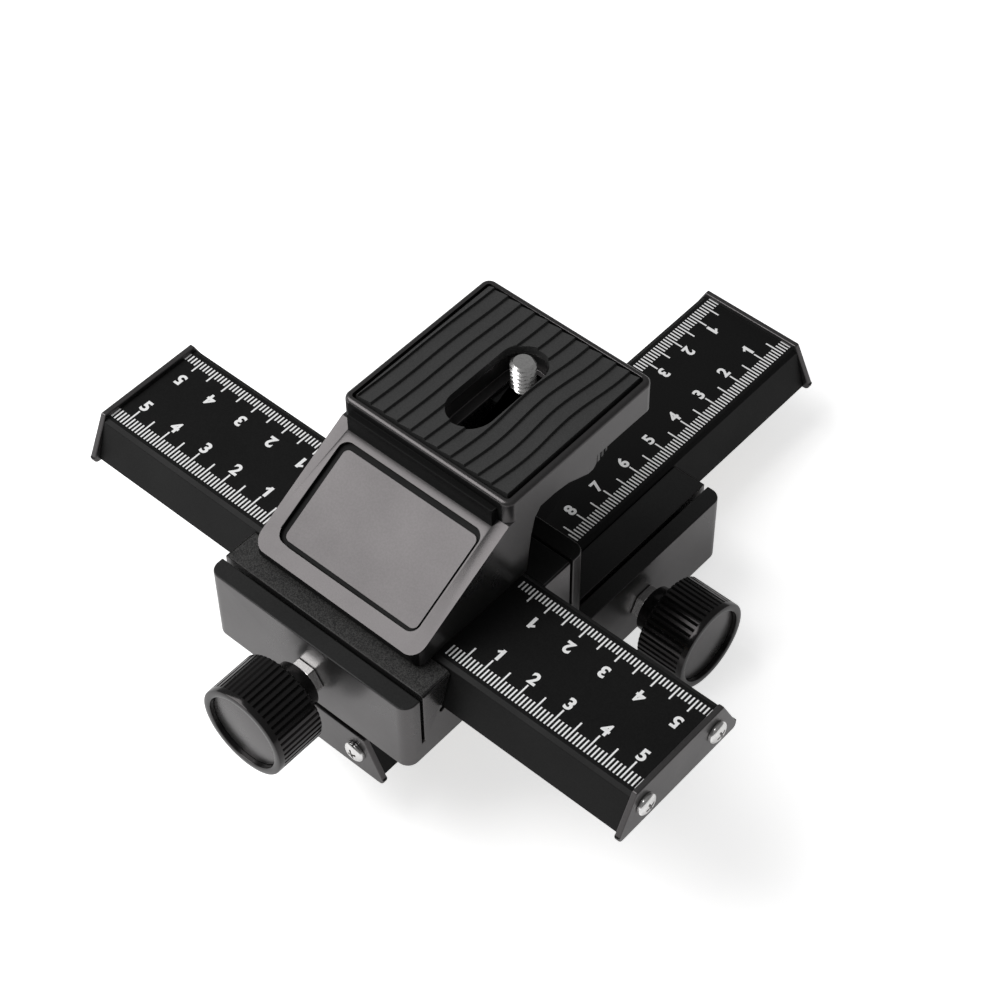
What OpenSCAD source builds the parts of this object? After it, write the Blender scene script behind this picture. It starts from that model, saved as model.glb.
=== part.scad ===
// Four-way macro focusing rail.
// Units are millimetres. +Z is up. The origin is the centre of the tripod
// socket, on the underside of the lower carriage. The lower rail runs along Y
// and the upper rail runs along X. The lower drive knob points to +X and the
// upper drive knob points to -Y.

/* [Carriages] */
// side of the square carriage blocks
block_w = 60; // [50:1:70]
// height of the carriage blocks
block_h = 21.5; // [18:0.5:26]
// radius of the upright corners
block_corner_r = 3; // [1:0.5:5]
// gap between the rail's underside and the groove floor
groove_floor_gap = 0.85; // [0.1:0.05:3.1]
// distance from the rail axis to the middle of a clamping slit
slit_x = 24.95; // [23:0.05:26]
// width of a clamping slit
slit_w = 0.9; // [0.6:0.1:1.5]
// height of a slit's bottom above the block's underside
slit_floor_z = 5.7; // [4:0.1:8]
// how far the grained inner ledges stand above the outer top
ledge_rise = 0.3; // [0.1:0.1:0.8]

/* [Rails] */
// length of the bare rail bar
rail_len = 159; // [120:1:200]
// height of the rail bar
rail_h = 10.65; // [9:0.05:12]
// half width of the flat top
rail_top_hw = 14.06; // [12:0.02:16]
// half width at the shallow shoulder
rail_shoulder_hw = 15.25; // [14:0.05:17]
// drop of the shoulder below the top
rail_shoulder_drop = 0.6; // [0.3:0.1:1.2]
// half width at the underside
rail_bottom_hw = 18.5; // [17:0.1:20]
// how far the rail's top stands above the block's top
rail_over_block = 1.2; // [0.8:0.1:2]
// sideways running gap between rail and groove
rail_fit = 0.08; // [0.02:0.01:0.12]

/* [End plates] */
// thickness of an end plate
plate_t = 1.5; // [1:0.1:3]
// half width at the plate's top edge
plate_top_hw = 14.6; // [13:0.1:16]
// half width at the plate's bottom edge
plate_bottom_hw = 20.8; // [19:0.1:22]
// height of the top edge above the rail's top
plate_rise = 1.2; // [0.5:0.1:2]
// drop of the bottom edge below the rail's top
plate_drop = 11.6; // [11:0.1:13]
// radius of the lower tips
plate_tip_r = 1.4; // [0.5:0.1:2]
// distance of the plate screws from the middle
plate_screw_x = 12; // [10:0.1:13]
// drop of the plate screws below the rail's top
plate_screw_drop = 4.75; // [4:0.05:6]

/* [Stack] */
// gap between the spacer's outer end and the lower rail's end
spacer_end_gap = 1.6; // [0.3:0.1:5.3]
// height of the spacer between the lower rail and the upper carriage
spacer_h = 5.9; // [4:0.1:8]
// width of the spacer
spacer_w = 26; // [20:1:28]
// length of the spacer
spacer_len = 51; // [40:1:56]

/* [Drives] */
// tooth module of the racks and pinions
tooth_module = 0.8; // [0.8:0.1:0.8]
// number of pinion teeth
pinion_teeth = 10; // [10:1:10]
// distance of the rack's middle from the rail axis
rack_x = 11; // [10.5:0.1:11.2]
// width of a rack
rack_w = 8; // [6:0.5:8]
// drop of the drive shaft's axis below the rail's top
shaft_drop = 13.8; // [13.6:0.1:14]
// radius of a drive shaft
shaft_r = 2; // [1.5:0.1:2.5]
// width across the flats of the hexagonal bush head
bush_af = 8.5; // [8:0.1:10]
// length of the hexagonal bush head
bush_head_len = 2.4; // [2:0.1:3]
// radius of the bush's barrel
bush_r = 3.2; // [3:0.1:3.6]
// radial running gap of turning pieces
turn_fit = 0.06; // [0.02:0.01:0.1]

/* [Knobs] */
// outer radius of a drive knob
knob_r = 11.75; // [10:0.05:14]
// distance from the rail axis to a knob's outer face
knob_face = 50.9; // [48:0.1:56]
// length of the ribbed body
knob_body_len = 13.5; // [10:0.1:16]
// radius of the smooth hub
knob_hub_r = 6.4; // [5:0.1:8]
// number of ribs around a knob
knob_ribs = 48; // [36:1:72]
// width of the rim around the cap
knob_rim_w = 1.95; // [1:0.05:3]
// depth of the cap below the rim
knob_cap_depth = 1.2; // [0.5:0.1:2]

/* [Turret] */
// width of the turret and its platform
turret_w = 49.4; // [44:0.1:52]
// radius of the upright corners
turret_corner_r = 3.5; // [2:0.5:5]
// thickness of the slanted front wall
panel_wall = 2.2; // [2:0.1:3]
// depth of the recess in the slanted front
badge_recess = 1; // [0.5:0.1:1.4]
// thickness of the blank plate in the recess
badge_t = 0.4; // [0.3:0.1:0.9]
// thickness of the rubber pad
pad_t = 2.4; // [2:0.1:3]
// half width of the slot in the pad and the tray
pad_slot_hw = 6.05; // [5:0.05:7]
// half width of the slot in the web
web_slot_hw = 3.3; // [3.25:0.05:3.5]

/* [Camera screw] */
// radius over the thread of the camera screw
stud_r = 3.1; // [3:0.01:3.17]
// radius of the screw's plain neck
neck_r = 2.4; // [2:0.1:2.6]
// radius of the thumb wheel
wheel_r = 20.75; // [18:0.05:21]
// thickness of the thumb wheel
wheel_t = 5.5; // [4:0.1:6]
// number of ribs around the thumb wheel
wheel_ribs = 72; // [48:1:96]

/* [Locks] */
// radius of a lock screw
lock_r = 2.5; // [2:0.1:3]
// radius of a lock knob
lock_knob_r = 6; // [5:0.1:7]
// height of the lock screws above the block's underside
lock_z = 14; // [12:0.1:16]

/* [Tripod sockets] */
// wall radius of the large socket
large_socket_r = 3.97; // [3.9:0.01:4.1]
// wall radius of the small socket
small_socket_r = 2.6; // [2.5:0.01:2.7]
// outer radius of the threaded insert
insert_r = 6.2; // [6:0.1:6.4]
// thickness of the floor between the insert and the groove
insert_floor = 2.2; // [0.7:0.1:4.2]
// how far the small socket's adapter ends below the insert's top
adapter_inset = 1; // [0:0.5:3]

/* [Hidden] */
$fn = 96;
eps = 0.01;
over = 1;
seat_gap = 0.02;
half = block_w / 2;
rail_top_z = block_h + rail_over_block;
rail_bottom_z = rail_top_z - rail_h;
groove_floor_z = rail_bottom_z - groove_floor_gap;
insert_len = groove_floor_z - insert_floor;
adapter_len = insert_len - adapter_inset;
shoulder_z = rail_top_z - rail_shoulder_drop;
side_slope = (rail_bottom_hw - rail_shoulder_hw) / (rail_h - rail_shoulder_drop);
shaft_z = rail_top_z - shaft_drop;
plate_screw_z = rail_top_z - plate_screw_drop;
upper_z = rail_top_z + spacer_h;
upper_rail_top = upper_z + rail_top_z;
// distance between the two rail axes, along the lower rail
stage_offset = rail_len / 2 - spacer_end_gap - spacer_len / 2;

pitch_r = tooth_module * pinion_teeth / 2;
tooth_pitch = PI * tooth_module;
press_angle = 20;
backlash = 0.12;
profile_shift = 0.32;
pinion_tip_r = pitch_r + 0.9;
pinion_root_r = pitch_r - 0.6;
pinion_len = 7;
base_r = pitch_r * cos(press_angle);
pinion_tooth_w = tooth_pitch / 2 + 2 * profile_shift * tan(press_angle) - backlash;
rack_tooth_w = tooth_pitch / 2 - 2 * profile_shift * tan(press_angle) - backlash / 2;
rack_pitch_z = shaft_z + pitch_r;
rack_tip_z = rack_pitch_z - (tooth_module - profile_shift);
rack_root_z = rack_pitch_z + 1.1;
rack_channel_h = 3.95;
rack_back_z = rail_bottom_z + rack_channel_h;
rack_end_gap = 15.5;
rack_half_len = rail_len / 2 - rack_end_gap;
rack_plain_end = 8;
rack_teeth = 2 * floor((rack_half_len - rack_plain_end) / tooth_pitch);
rack_screw_inset = 4;
rack_screw_y = rack_half_len - rack_screw_inset;
channel_gap = 0.05;
relief_x0 = -15;
relief_x1 = -5;

plate_hole_r = 1.4;
plate_screw_r = 1.25;
plate_screw_len = 8;
pan_head_r = 2.75;
pan_head_h = 1.8;
pan_dome_r = 5.13;
small_screw_r = 1;
small_head_r = 1.9;
small_head_h = 1;
small_screw_len = 4.6;
small_slot_w = 2;
small_slot_t = 0.5;
small_slot_d = 0.6;
pilot_gap = 0.4;
pan_slot_w = 3;
pan_slot_t = 0.65;
pan_slot_d = 1.2;
bolt_slot_w = 3.4;
bolt_slot_t = 0.7;
bolt_slot_d = 1.3;

bolt_r = 2;
bolt_hole_r = 2.1;
bolt_head_r = 3.2;
bolt_head_h = 1.9;
stage_bolt_x = 9;
stage_bolt_y = 14;
stage_bolt_bite = 5.6;
stage_bolt_tip_z = rail_top_z - stage_bolt_bite;
turret_bolt_x = 15;
turret_bolt_len = 6;

pocket_x0 = rack_x - 3.8;
pocket_x1 = rack_x + 3.8;
pocket_hw = 5.3;
pocket_floor_z = shaft_z - 5.3;
bush_setback = 1.5;
bush_inner_x = rail_bottom_hw + bush_setback;
shaft_hole_gap = 0.15;

knob_back = knob_face - knob_body_len;
knob_hub_back = half + bush_head_len + 0.25;
grub_r = 1.5;
lock_gap = 0.1;
lock_knob_len = 10;
lock_seat_len = 6;
lock_knob_x = half + 0.4;

panel_foot = [-20.9, 3.72];
panel_head = [9.7, 21.06];
panel_run = panel_head - panel_foot;
panel_len = norm(panel_run);
panel_angle = atan2(panel_run[1], panel_run[0]);
badge_side = 3.85;
badge_w = turret_w - 2 * badge_side;
badge_s0 = 4.25;
badge_s1 = 31.2;
badge_corner_r = 2.6;
badge_gap_left = 1.5;
badge_gap_right = 0.7;
badge_gap_low = 0.9;
badge_gap_high = 1.5;
badge_plate_r = 1.6;
foot_front_y = -19.9;
foot_rear_y = 15.7;
rear_knee = [17.1, 10.8];
rear_bend = [18.5, 16.2];
rear_skirt_y = 20.3;
shelf_rear_y = rear_skirt_y + 9.7;
platform_front = panel_head[0];
platform_rear = 59.1;
platform_top = 27.4;
platform_corner_r = 2.4;
brow_out = 1.75;
brow_hw = 21.3;
brow_top = 25;
tray_depth = 1.7;
tray_z = platform_top - tray_depth;
tray_side_rim = 1.55;
tray_front_rim = 1.5;
tray_rear_rim = 1.6;
tray_corner_r = 1;
tray_x = turret_w / 2 - tray_side_rim;
tray_y0 = platform_front + tray_front_rim;
tray_y1 = platform_rear - tray_rear_rim;
skirt_z = 18.4;
wing_y = [25, 29.6, 32.5, 36.5, 38.3, 39.4, 39.6];
wing_drop = [0, 0.7, 2, 3.7, 3.6, 2.4, 0];
web_drop = 6.4;
web_t = 1.2;
web_top = platform_top - web_drop;
web_under = web_top - web_t;
side_wall = 2.6;
rear_wall = 1.8;
cavity_x = turret_w / 2 - side_wall;
cavity_z = 7.2;
slot_front_gap = 14.55;
slot_rear_gap = 14.85;
slot_y0 = tray_y0 + slot_front_gap;
slot_y1 = tray_y1 - slot_rear_gap;
stud_y = slot_y1 + 0.25;
web_slot_over = 1;
web_slot_inset = 1.3;
web_slot_y0 = slot_y0 - pad_slot_hw + web_slot_inset;
web_slot_y1 = stud_y + web_slot_over + web_slot_hw;
pad_gap = 0.85;
pad_pitch = 4;
pad_first_stripe = 1.1;
slide_gap = 0.05;
slide_t = 1.25;
slide_z0 = web_under - slide_t - slide_gap;
slide_hw = 7;
guide_hw = 7.1;
guide_out = 8.6;
lip_hw = 4.5;
lip_t = 0.75;
lip_z = slide_z0 - lip_t - slide_gap;
guide_y0 = slot_y0 - 5.75;
guide_y1 = slot_y1 + 8.35;
wheel_z = 8;
stud_stand = 0.7;
stud_top = tray_z + pad_t + stud_stand;
thread_gap = 0.1;
thread_relief = 0.2;
washer_t = 0.6;
washer_r = 4.4;
wheel_hub_r = 7;

// ---- frames ----

// upper stage: the same pieces turned so that the rail runs along X
module at_upper() {
    translate([0, -stage_offset, upper_z])
        rotate([0, 0, -90])
            children();
}

// turret frame: on the upper rail's top, over the upper rail's axis
module at_turret() {
    translate([0, -stage_offset, upper_rail_top])
        children();
}

// along the knob side's axis, from the rail's axis outwards
module at_shaft(x) {
    translate([x, 0, shaft_z])
        rotate([0, 90, 0])
            children();
}

// ---- profiles ----

module rounded_square(w, l, r) {
    square([w - 2 * r, l], center = true);
    square([w, l - 2 * r], center = true);
    for (sx = [-1, 1])
        for (sy = [-1, 1])
            translate([sx * (w / 2 - r), sy * (l / 2 - r)])
                circle(r = r);
}

module rail_profile() {
    polygon([
        [-rail_bottom_hw, rail_bottom_z],
        [rail_bottom_hw, rail_bottom_z],
        [rail_shoulder_hw, shoulder_z],
        [rail_top_hw, rail_top_z],
        [-rail_top_hw, rail_top_z],
        [-rail_shoulder_hw, shoulder_z]
    ]);
}

function groove_x(z) = rail_shoulder_hw + rail_fit + (shoulder_z - z) * side_slope;

module groove_profile() {
    top = block_h + 2;
    polygon([
        [-groove_x(groove_floor_z), groove_floor_z],
        [groove_x(groove_floor_z), groove_floor_z],
        [groove_x(top), top],
        [-groove_x(top), top]
    ]);
    for (s = [-1, 1])
        translate([s * (groove_x(groove_floor_z) - 0.1), groove_floor_z + 0.35])
            circle(r = 0.7, $fn = 48);
}

// a profile drawn in XZ, run along Y
module along_y(l) {
    rotate([90, 0, 0])
        linear_extrude(height = l, center = true)
            children();
}

// a profile drawn in YZ, run along X
module along_x(l) {
    rotate([90, 0, 90])
        linear_extrude(height = l, center = true)
            children();
}

// a countersunk bolt pointing down from its head at z = 0
module sunk_bolt(r, head_r, head_h, l) {
    translate([0, 0, -l])
        cylinder(r = r, h = l);
    translate([0, 0, -head_h])
        cylinder(r1 = r, r2 = head_r, h = head_h);
}

module cross_slot(w, t, d) {
    translate([0, 0, -d / 2])
        cube([w, t, d + eps], center = true);
    translate([0, 0, -d / 2])
        cube([t, w, d + eps], center = true);
}

// ---- carriage ----

module carriage_block() {
    ledge_x0 = rail_top_hw - 1;
    ledge_x1 = slit_x - slit_w / 2;
    difference() {
        union() {
            linear_extrude(height = block_h)
                rounded_square(block_w, block_w, block_corner_r);
            for (s = [-1, 1])
                translate([s * (ledge_x0 + ledge_x1) / 2, 0, block_h - over / 2 + ledge_rise / 2])
                    cube([ledge_x1 - ledge_x0, block_w - 1, over + ledge_rise], center = true);
        }
        along_y(block_w + 2 * over)
            groove_profile();
        for (s = [-1, 1])
            translate([s * slit_x - slit_w / 2, -half - over, slit_floor_z])
                cube([slit_w, block_w + 2 * over, block_h]);
        translate([pocket_x0, -pocket_hw, pocket_floor_z])
            cube([pocket_x1 - pocket_x0, 2 * pocket_hw, groove_floor_z - pocket_floor_z + over]);
        at_shaft(bush_inner_x)
            cylinder(r = bush_r + seat_gap, h = half - bush_inner_x + over);
        at_shaft(pocket_x1 - eps)
            cylinder(r = shaft_r + shaft_hole_gap, h = bush_inner_x - pocket_x1 + 2 * eps);
        translate([-half - over, 0, lock_z])
            rotate([0, 90, 0])
                cylinder(r = lock_r + turn_fit, h = half - slit_x + over);
    }
}

module lower_carriage() {
    color([0.12, 0.12, 0.13])
    difference() {
        carriage_block();
        translate([0, 0, -over])
            cylinder(r = insert_r + seat_gap, h = insert_len + over);
    }
}

module upper_carriage() {
    color([0.12, 0.12, 0.13])
    at_upper()
    difference() {
        carriage_block();
        for (x = [-stage_bolt_y, stage_bolt_y])
            for (y = [-stage_bolt_x, stage_bolt_x])
                translate([x, y, 0]) {
                    translate([0, 0, -over])
                        cylinder(r = bolt_hole_r, h = block_h);
                    translate([0, 0, groove_floor_z - bolt_head_h])
                        cylinder(r1 = bolt_hole_r, r2 = bolt_head_r + 0.1, h = bolt_head_h);
                    translate([0, 0, groove_floor_z - eps])
                        cylinder(r = bolt_head_r + 0.1, h = over);
                }
    }
}

module tripod_insert() {
    color([0.72, 0.72, 0.74])
    difference() {
        cylinder(r = insert_r, h = insert_len);
        translate([0, 0, -over])
            cylinder(r = large_socket_r, h = insert_len + 2 * over);
    }
}

module tripod_adapter() {
    color([0.8, 0.66, 0.36])
    difference() {
        cylinder(r = large_socket_r - seat_gap, h = adapter_len);
        translate([0, 0, -over])
            cylinder(r = small_socket_r, h = adapter_len + 2 * over);
        translate([0, 0, 0.5])
            cube([2 * large_socket_r, 1.2, 1 + eps], center = true);
    }
}

// ---- drive ----

module drive_bush() {
    head_r = bush_af / 2 / cos(30);
    difference() {
        union() {
            at_shaft(bush_inner_x)
                cylinder(r = bush_r, h = half - bush_inner_x + eps);
            at_shaft(half)
                rotate([0, 0, 30])
                    cylinder(r = head_r, h = bush_head_len, $fn = 6);
        }
        at_shaft(bush_inner_x - over)
            cylinder(r = shaft_r + turn_fit, h = half + bush_head_len - bush_inner_x + 2 * over);
    }
}

module drive_shaft() {
    at_shaft(rack_x - pinion_len / 2)
        cylinder(r = shaft_r, h = knob_face - 3.5 - rack_x + pinion_len / 2);
}

function inv_angle(a) = tan(a) * 180 / PI - a;
function flank_angle(r) =
    pinion_tooth_w / (2 * pitch_r) * 180 / PI + inv_angle(press_angle)
    - inv_angle(acos(base_r / max(r, base_r)));
function polar(r, a) = [r * cos(a), r * sin(a)];
flank_r = [pinion_root_r, base_r, 3.95, 4.2, 4.45, 4.7, pinion_tip_r];

module pinion_profile() {
    polygon([
        for (i = [0 : pinion_teeth - 1])
            let (mid = i * 360 / pinion_teeth)
            for (side = [0, 1])
                for (k = [0 : len(flank_r) - 1])
                    let (r = side == 0 ? flank_r[k] : flank_r[len(flank_r) - 1 - k])
                    polar(r, mid + (side == 0 ? -1 : 1) * flank_angle(r))
    ]);
}

module pinion() {
    difference() {
        at_shaft(rack_x - pinion_len / 2)
            linear_extrude(height = pinion_len)
                pinion_profile();
        at_shaft(rack_x - pinion_len)
            cylinder(r = shaft_r + seat_gap, h = 2 * pinion_len);
    }
}

module knob() {
    rim_r = knob_r - knob_rim_w;
    groove_len = knob_body_len - 1.5;
    difference() {
        union() {
            at_shaft(knob_hub_back)
                cylinder(r = knob_hub_r, h = knob_back - knob_hub_back + eps);
            at_shaft(knob_back)
                cylinder(r = knob_r, h = knob_body_len);
        }
        at_shaft(knob_hub_back - over)
            cylinder(r = shaft_r + seat_gap, h = knob_face - 3 - knob_hub_back + over);
        at_shaft(knob_face - knob_cap_depth - 1)
            cylinder(r = rim_r + 0.05, h = knob_cap_depth + 1 + over);
        for (i = [0 : knob_ribs - 1])
            at_shaft(knob_back - over)
                rotate([0, 0, i * 360 / knob_ribs])
                    translate([knob_r + 0.1, 0, 0])
                        cylinder(r = 0.45, h = groove_len + over, $fn = 24);
        translate([knob_hub_back + 2.4, 0, shaft_z - knob_hub_r - over])
            cylinder(r = grub_r + seat_gap, h = knob_hub_r - shaft_r + over);
    }
}

module knob_cap() {
    at_shaft(knob_face - knob_cap_depth - 1)
        cylinder(r = knob_r - knob_rim_w, h = 1);
}

module knob_grub() {
    difference() {
        translate([knob_hub_back + 2.4, 0, shaft_z - knob_hub_r + 0.4])
            cylinder(r = grub_r, h = knob_hub_r - shaft_r - 0.5);
        translate([knob_hub_back + 2.4, 0, shaft_z - knob_hub_r + 0.3])
            cylinder(r = 0.87, h = 1.6, $fn = 6);
    }
}

// ---- lock ----

module lock_screw() {
    tip = slit_x - slit_w / 2 + lock_gap;
    translate([-tip, 0, lock_z])
        rotate([0, -90, 0])
            cylinder(r = lock_r, h = lock_knob_x + lock_seat_len - tip);
}

module lock_knob() {
    difference() {
        translate([-lock_knob_x, 0, lock_z])
            rotate([0, -90, 0])
                cylinder(r = lock_knob_r, h = lock_knob_len);
        translate([-lock_knob_x + over, 0, lock_z])
            rotate([0, -90, 0])
                cylinder(r = lock_r + seat_gap, h = lock_seat_len + over);
        for (i = [0 : 23])
            translate([-lock_knob_x - 1.2, 0, lock_z])
                rotate([0, -90, 0])
                    rotate([0, 0, i * 15])
                        translate([lock_knob_r + 0.15, 0, 0])
                            cylinder(r = 0.45, h = lock_knob_len, $fn = 24);
    }
}

// ---- rail ----

module rail_bar() {
    difference() {
        along_y(rail_len)
            rail_profile();
        translate([rack_x - rack_w / 2 - channel_gap, -rail_len / 2 - over, rail_bottom_z - over])
            cube([rack_w + 2 * channel_gap, rail_len + 2 * over, rack_back_z - rail_bottom_z + over]);
        translate([relief_x0, -rail_len / 2 - over, rail_bottom_z - over])
            cube([relief_x1 - relief_x0, rail_len + 2 * over, rack_back_z - rail_bottom_z + over]);
        for (sx = [-1, 1])
            for (sy = [-1, 1])
                translate([sx * plate_screw_x, sy * rail_len / 2, plate_screw_z])
                    rotate([90, 0, 0])
                        cylinder(r = plate_screw_r + seat_gap, h = 2 * plate_screw_len + 1, center = true);
        for (sy = [-1, 1])
            translate([rack_x, sy * rack_screw_y, rack_back_z - over])
                cylinder(r = small_screw_r + seat_gap, h = rack_root_z + small_screw_len + pilot_gap - rack_back_z + over, $fn = 32);
    }
}

module lower_rail() {
    color([0.1, 0.1, 0.11])
    difference() {
        rail_bar();
        for (x = [-stage_bolt_x, stage_bolt_x])
            for (y = [-stage_bolt_y, stage_bolt_y])
                translate([x, y - stage_offset, stage_bolt_tip_z - 0.2])
                    cylinder(r = bolt_r + seat_gap, h = stage_bolt_bite + 0.2 + over);
    }
}

module upper_rail() {
    color([0.1, 0.1, 0.11])
    at_upper()
    difference() {
        rail_bar();
        for (y = [-turret_bolt_x, turret_bolt_x])
            translate([0, y, 0]) {
                cylinder(r = bolt_hole_r, h = 2 * block_h);
                translate([0, 0, rail_bottom_z - eps])
                    cylinder(r1 = bolt_head_r + 0.1, r2 = bolt_hole_r, h = bolt_head_h);
            }
    }
}

module rack() {
    difference() {
        translate([rack_x, 0, 0])
            along_x(rack_w)
                polygon(concat(
                    [[-rack_half_len, rack_back_z], [-rack_half_len, rack_root_z]],
                    [
                        for (i = [0 : rack_teeth - 1])
                            let (y = (i - (rack_teeth - 1) / 2) * tooth_pitch)
                            for (k = [0 : 3])
                                let (z = (k == 0 || k == 3) ? rack_root_z : rack_tip_z)
                                let (w = rack_tooth_w / 2 + (z - rack_pitch_z) * tan(press_angle))
                                [y + (k < 2 ? -w : w), z]
                    ],
                    [[rack_half_len, rack_root_z], [rack_half_len, rack_back_z]]
                ));
        for (sy = [-1, 1])
            translate([rack_x, sy * rack_screw_y, rack_root_z - over]) {
                cylinder(r = small_screw_r + 0.05, h = rack_back_z - rack_root_z + 2 * over, $fn = 32);
                cylinder(r = small_head_r + 0.05, h = small_head_h + over, $fn = 32);
            }
    }
}

module rack_screws() {
    for (sy = [-1, 1])
        translate([rack_x, sy * rack_screw_y, rack_root_z])
            difference() {
                union() {
                    cylinder(r = small_screw_r, h = small_screw_len, $fn = 32);
                    cylinder(r = small_head_r, h = small_head_h, $fn = 32);
                }
                rotate([180, 0, 0])
                    cross_slot(small_slot_w, small_slot_t, small_slot_d);
            }
}

// ---- end plates ----

module plate_profile() {
    zt = rail_top_z + plate_rise;
    zb = rail_top_z - plate_drop;
    lean = atan2(plate_bottom_hw - plate_top_hw, zt - zb);
    inset = plate_tip_r / tan((90 - lean) / 2);
    difference() {
        polygon([
            [-plate_bottom_hw, zb],
            [plate_bottom_hw, zb],
            [plate_top_hw, zt],
            [-plate_top_hw, zt]
        ]);
        for (s = [-1, 1])
            difference() {
                polygon([
                    [s * (plate_bottom_hw + 1), zb - 1],
                    [s * (plate_bottom_hw - inset), zb - 1],
                    [s * (plate_bottom_hw - inset), zb + plate_tip_r],
                    [s * (plate_bottom_hw - inset * sin(lean) + 1.2), zb + inset * cos(lean) + 0.2]
                ]);
                translate([s * (plate_bottom_hw - inset), zb + plate_tip_r])
                    circle(r = plate_tip_r, $fn = 48);
            }
    }
}

module end_plate(s) {
    difference() {
        translate([0, s * (rail_len + plate_t) / 2, 0])
            along_y(plate_t)
                plate_profile();
        for (sx = [-1, 1])
            translate([sx * plate_screw_x, s * rail_len / 2, plate_screw_z])
                rotate([90, 0, 0])
                    cylinder(r = plate_hole_r, h = 4 * plate_t, center = true);
    }
}

module plate_screws() {
    for (sx = [-1, 1])
        for (sy = [-1, 1])
            translate([sx * plate_screw_x, sy * (rail_len / 2 + plate_t), plate_screw_z])
                rotate([sy * -90, 0, 0])
                    difference() {
                        union() {
                            intersection() {
                                cylinder(r = pan_head_r, h = pan_head_h);
                                translate([0, 0, pan_head_h - pan_dome_r])
                                    sphere(r = pan_dome_r);
                            }
                            translate([0, 0, -plate_t - plate_screw_len])
                                cylinder(r = plate_screw_r, h = plate_t + plate_screw_len + eps);
                        }
                        translate([0, 0, pan_head_h + 0.1])
                            cross_slot(pan_slot_w, pan_slot_t, pan_slot_d);
                    }
}

// ---- stack ----

module stage_spacer() {
    color([0.16, 0.16, 0.17])
    difference() {
        translate([-spacer_w / 2, -stage_offset - spacer_len / 2, rail_top_z])
            cube([spacer_w, spacer_len, spacer_h]);
        for (x = [-stage_bolt_x, stage_bolt_x])
            for (y = [-stage_bolt_y, stage_bolt_y])
                translate([x, y - stage_offset, rail_top_z - over])
                    cylinder(r = bolt_hole_r, h = spacer_h + 2 * over);
    }
}

module stage_bolts() {
    head_z = upper_z + groove_floor_z - 0.1;
    color([0.3, 0.3, 0.31])
    for (x = [-stage_bolt_x, stage_bolt_x])
        for (y = [-stage_bolt_y, stage_bolt_y])
            translate([x, y - stage_offset, head_z])
                difference() {
                    sunk_bolt(bolt_r, bolt_head_r, bolt_head_h, head_z - stage_bolt_tip_z);
                    cross_slot(bolt_slot_w, bolt_slot_t, bolt_slot_d);
                }
}

// ---- turret ----

module turret_outline() {
    polygon([
        [foot_front_y, 0], [foot_rear_y, 0], rear_knee, rear_bend, [rear_skirt_y, skirt_z],
        [shelf_rear_y, skirt_z], [shelf_rear_y, panel_head[1]],
        panel_head, panel_foot
    ]);
}

// the side wall's wing that hangs from the skirt beside the thumb wheel
module wing_outline() {
    polygon(concat(
        [for (i = [0 : len(wing_y) - 1]) [wing_y[i], skirt_z - wing_drop[i]]],
        [[wing_y[len(wing_y) - 1], skirt_z + over], [wing_y[0], skirt_z + over]]
    ));
}

// a rounded plate in plan between two places along Y and two heights
module plan_plate(w, y0, y1, z0, z1, r) {
    translate([0, (y0 + y1) / 2, z0])
        linear_extrude(height = z1 - z0)
            rounded_square(w, y1 - y0, r);
}

module cavity_outline() {
    wall_y = panel_foot[0] + panel_wall * sin(panel_angle);
    wall_z = panel_foot[1] - panel_wall * cos(panel_angle);
    slope = panel_run[1] / panel_run[0];
    polygon([
        [wall_y + (cavity_z - wall_z) / slope, cavity_z],
        [platform_rear - rear_wall, cavity_z],
        [platform_rear - rear_wall, web_under],
        [wall_y + (web_under - wall_z) / slope, web_under]
    ]);
}

module slot_prism(hw, y0, y1, z0, z1) {
    translate([-hw, y0, z0])
        cube([2 * hw, y1 - y0, z1 - z0]);
    for (y = [y0, y1])
        translate([0, y, z0])
            cylinder(r = hw, h = z1 - z0);
}

// frame on the slanted front: X across, Y up the slope, Z out of the face
module on_panel() {
    translate([0, panel_foot[0], panel_foot[1]])
        rotate([panel_angle, 0, 0])
            children();
}

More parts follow.
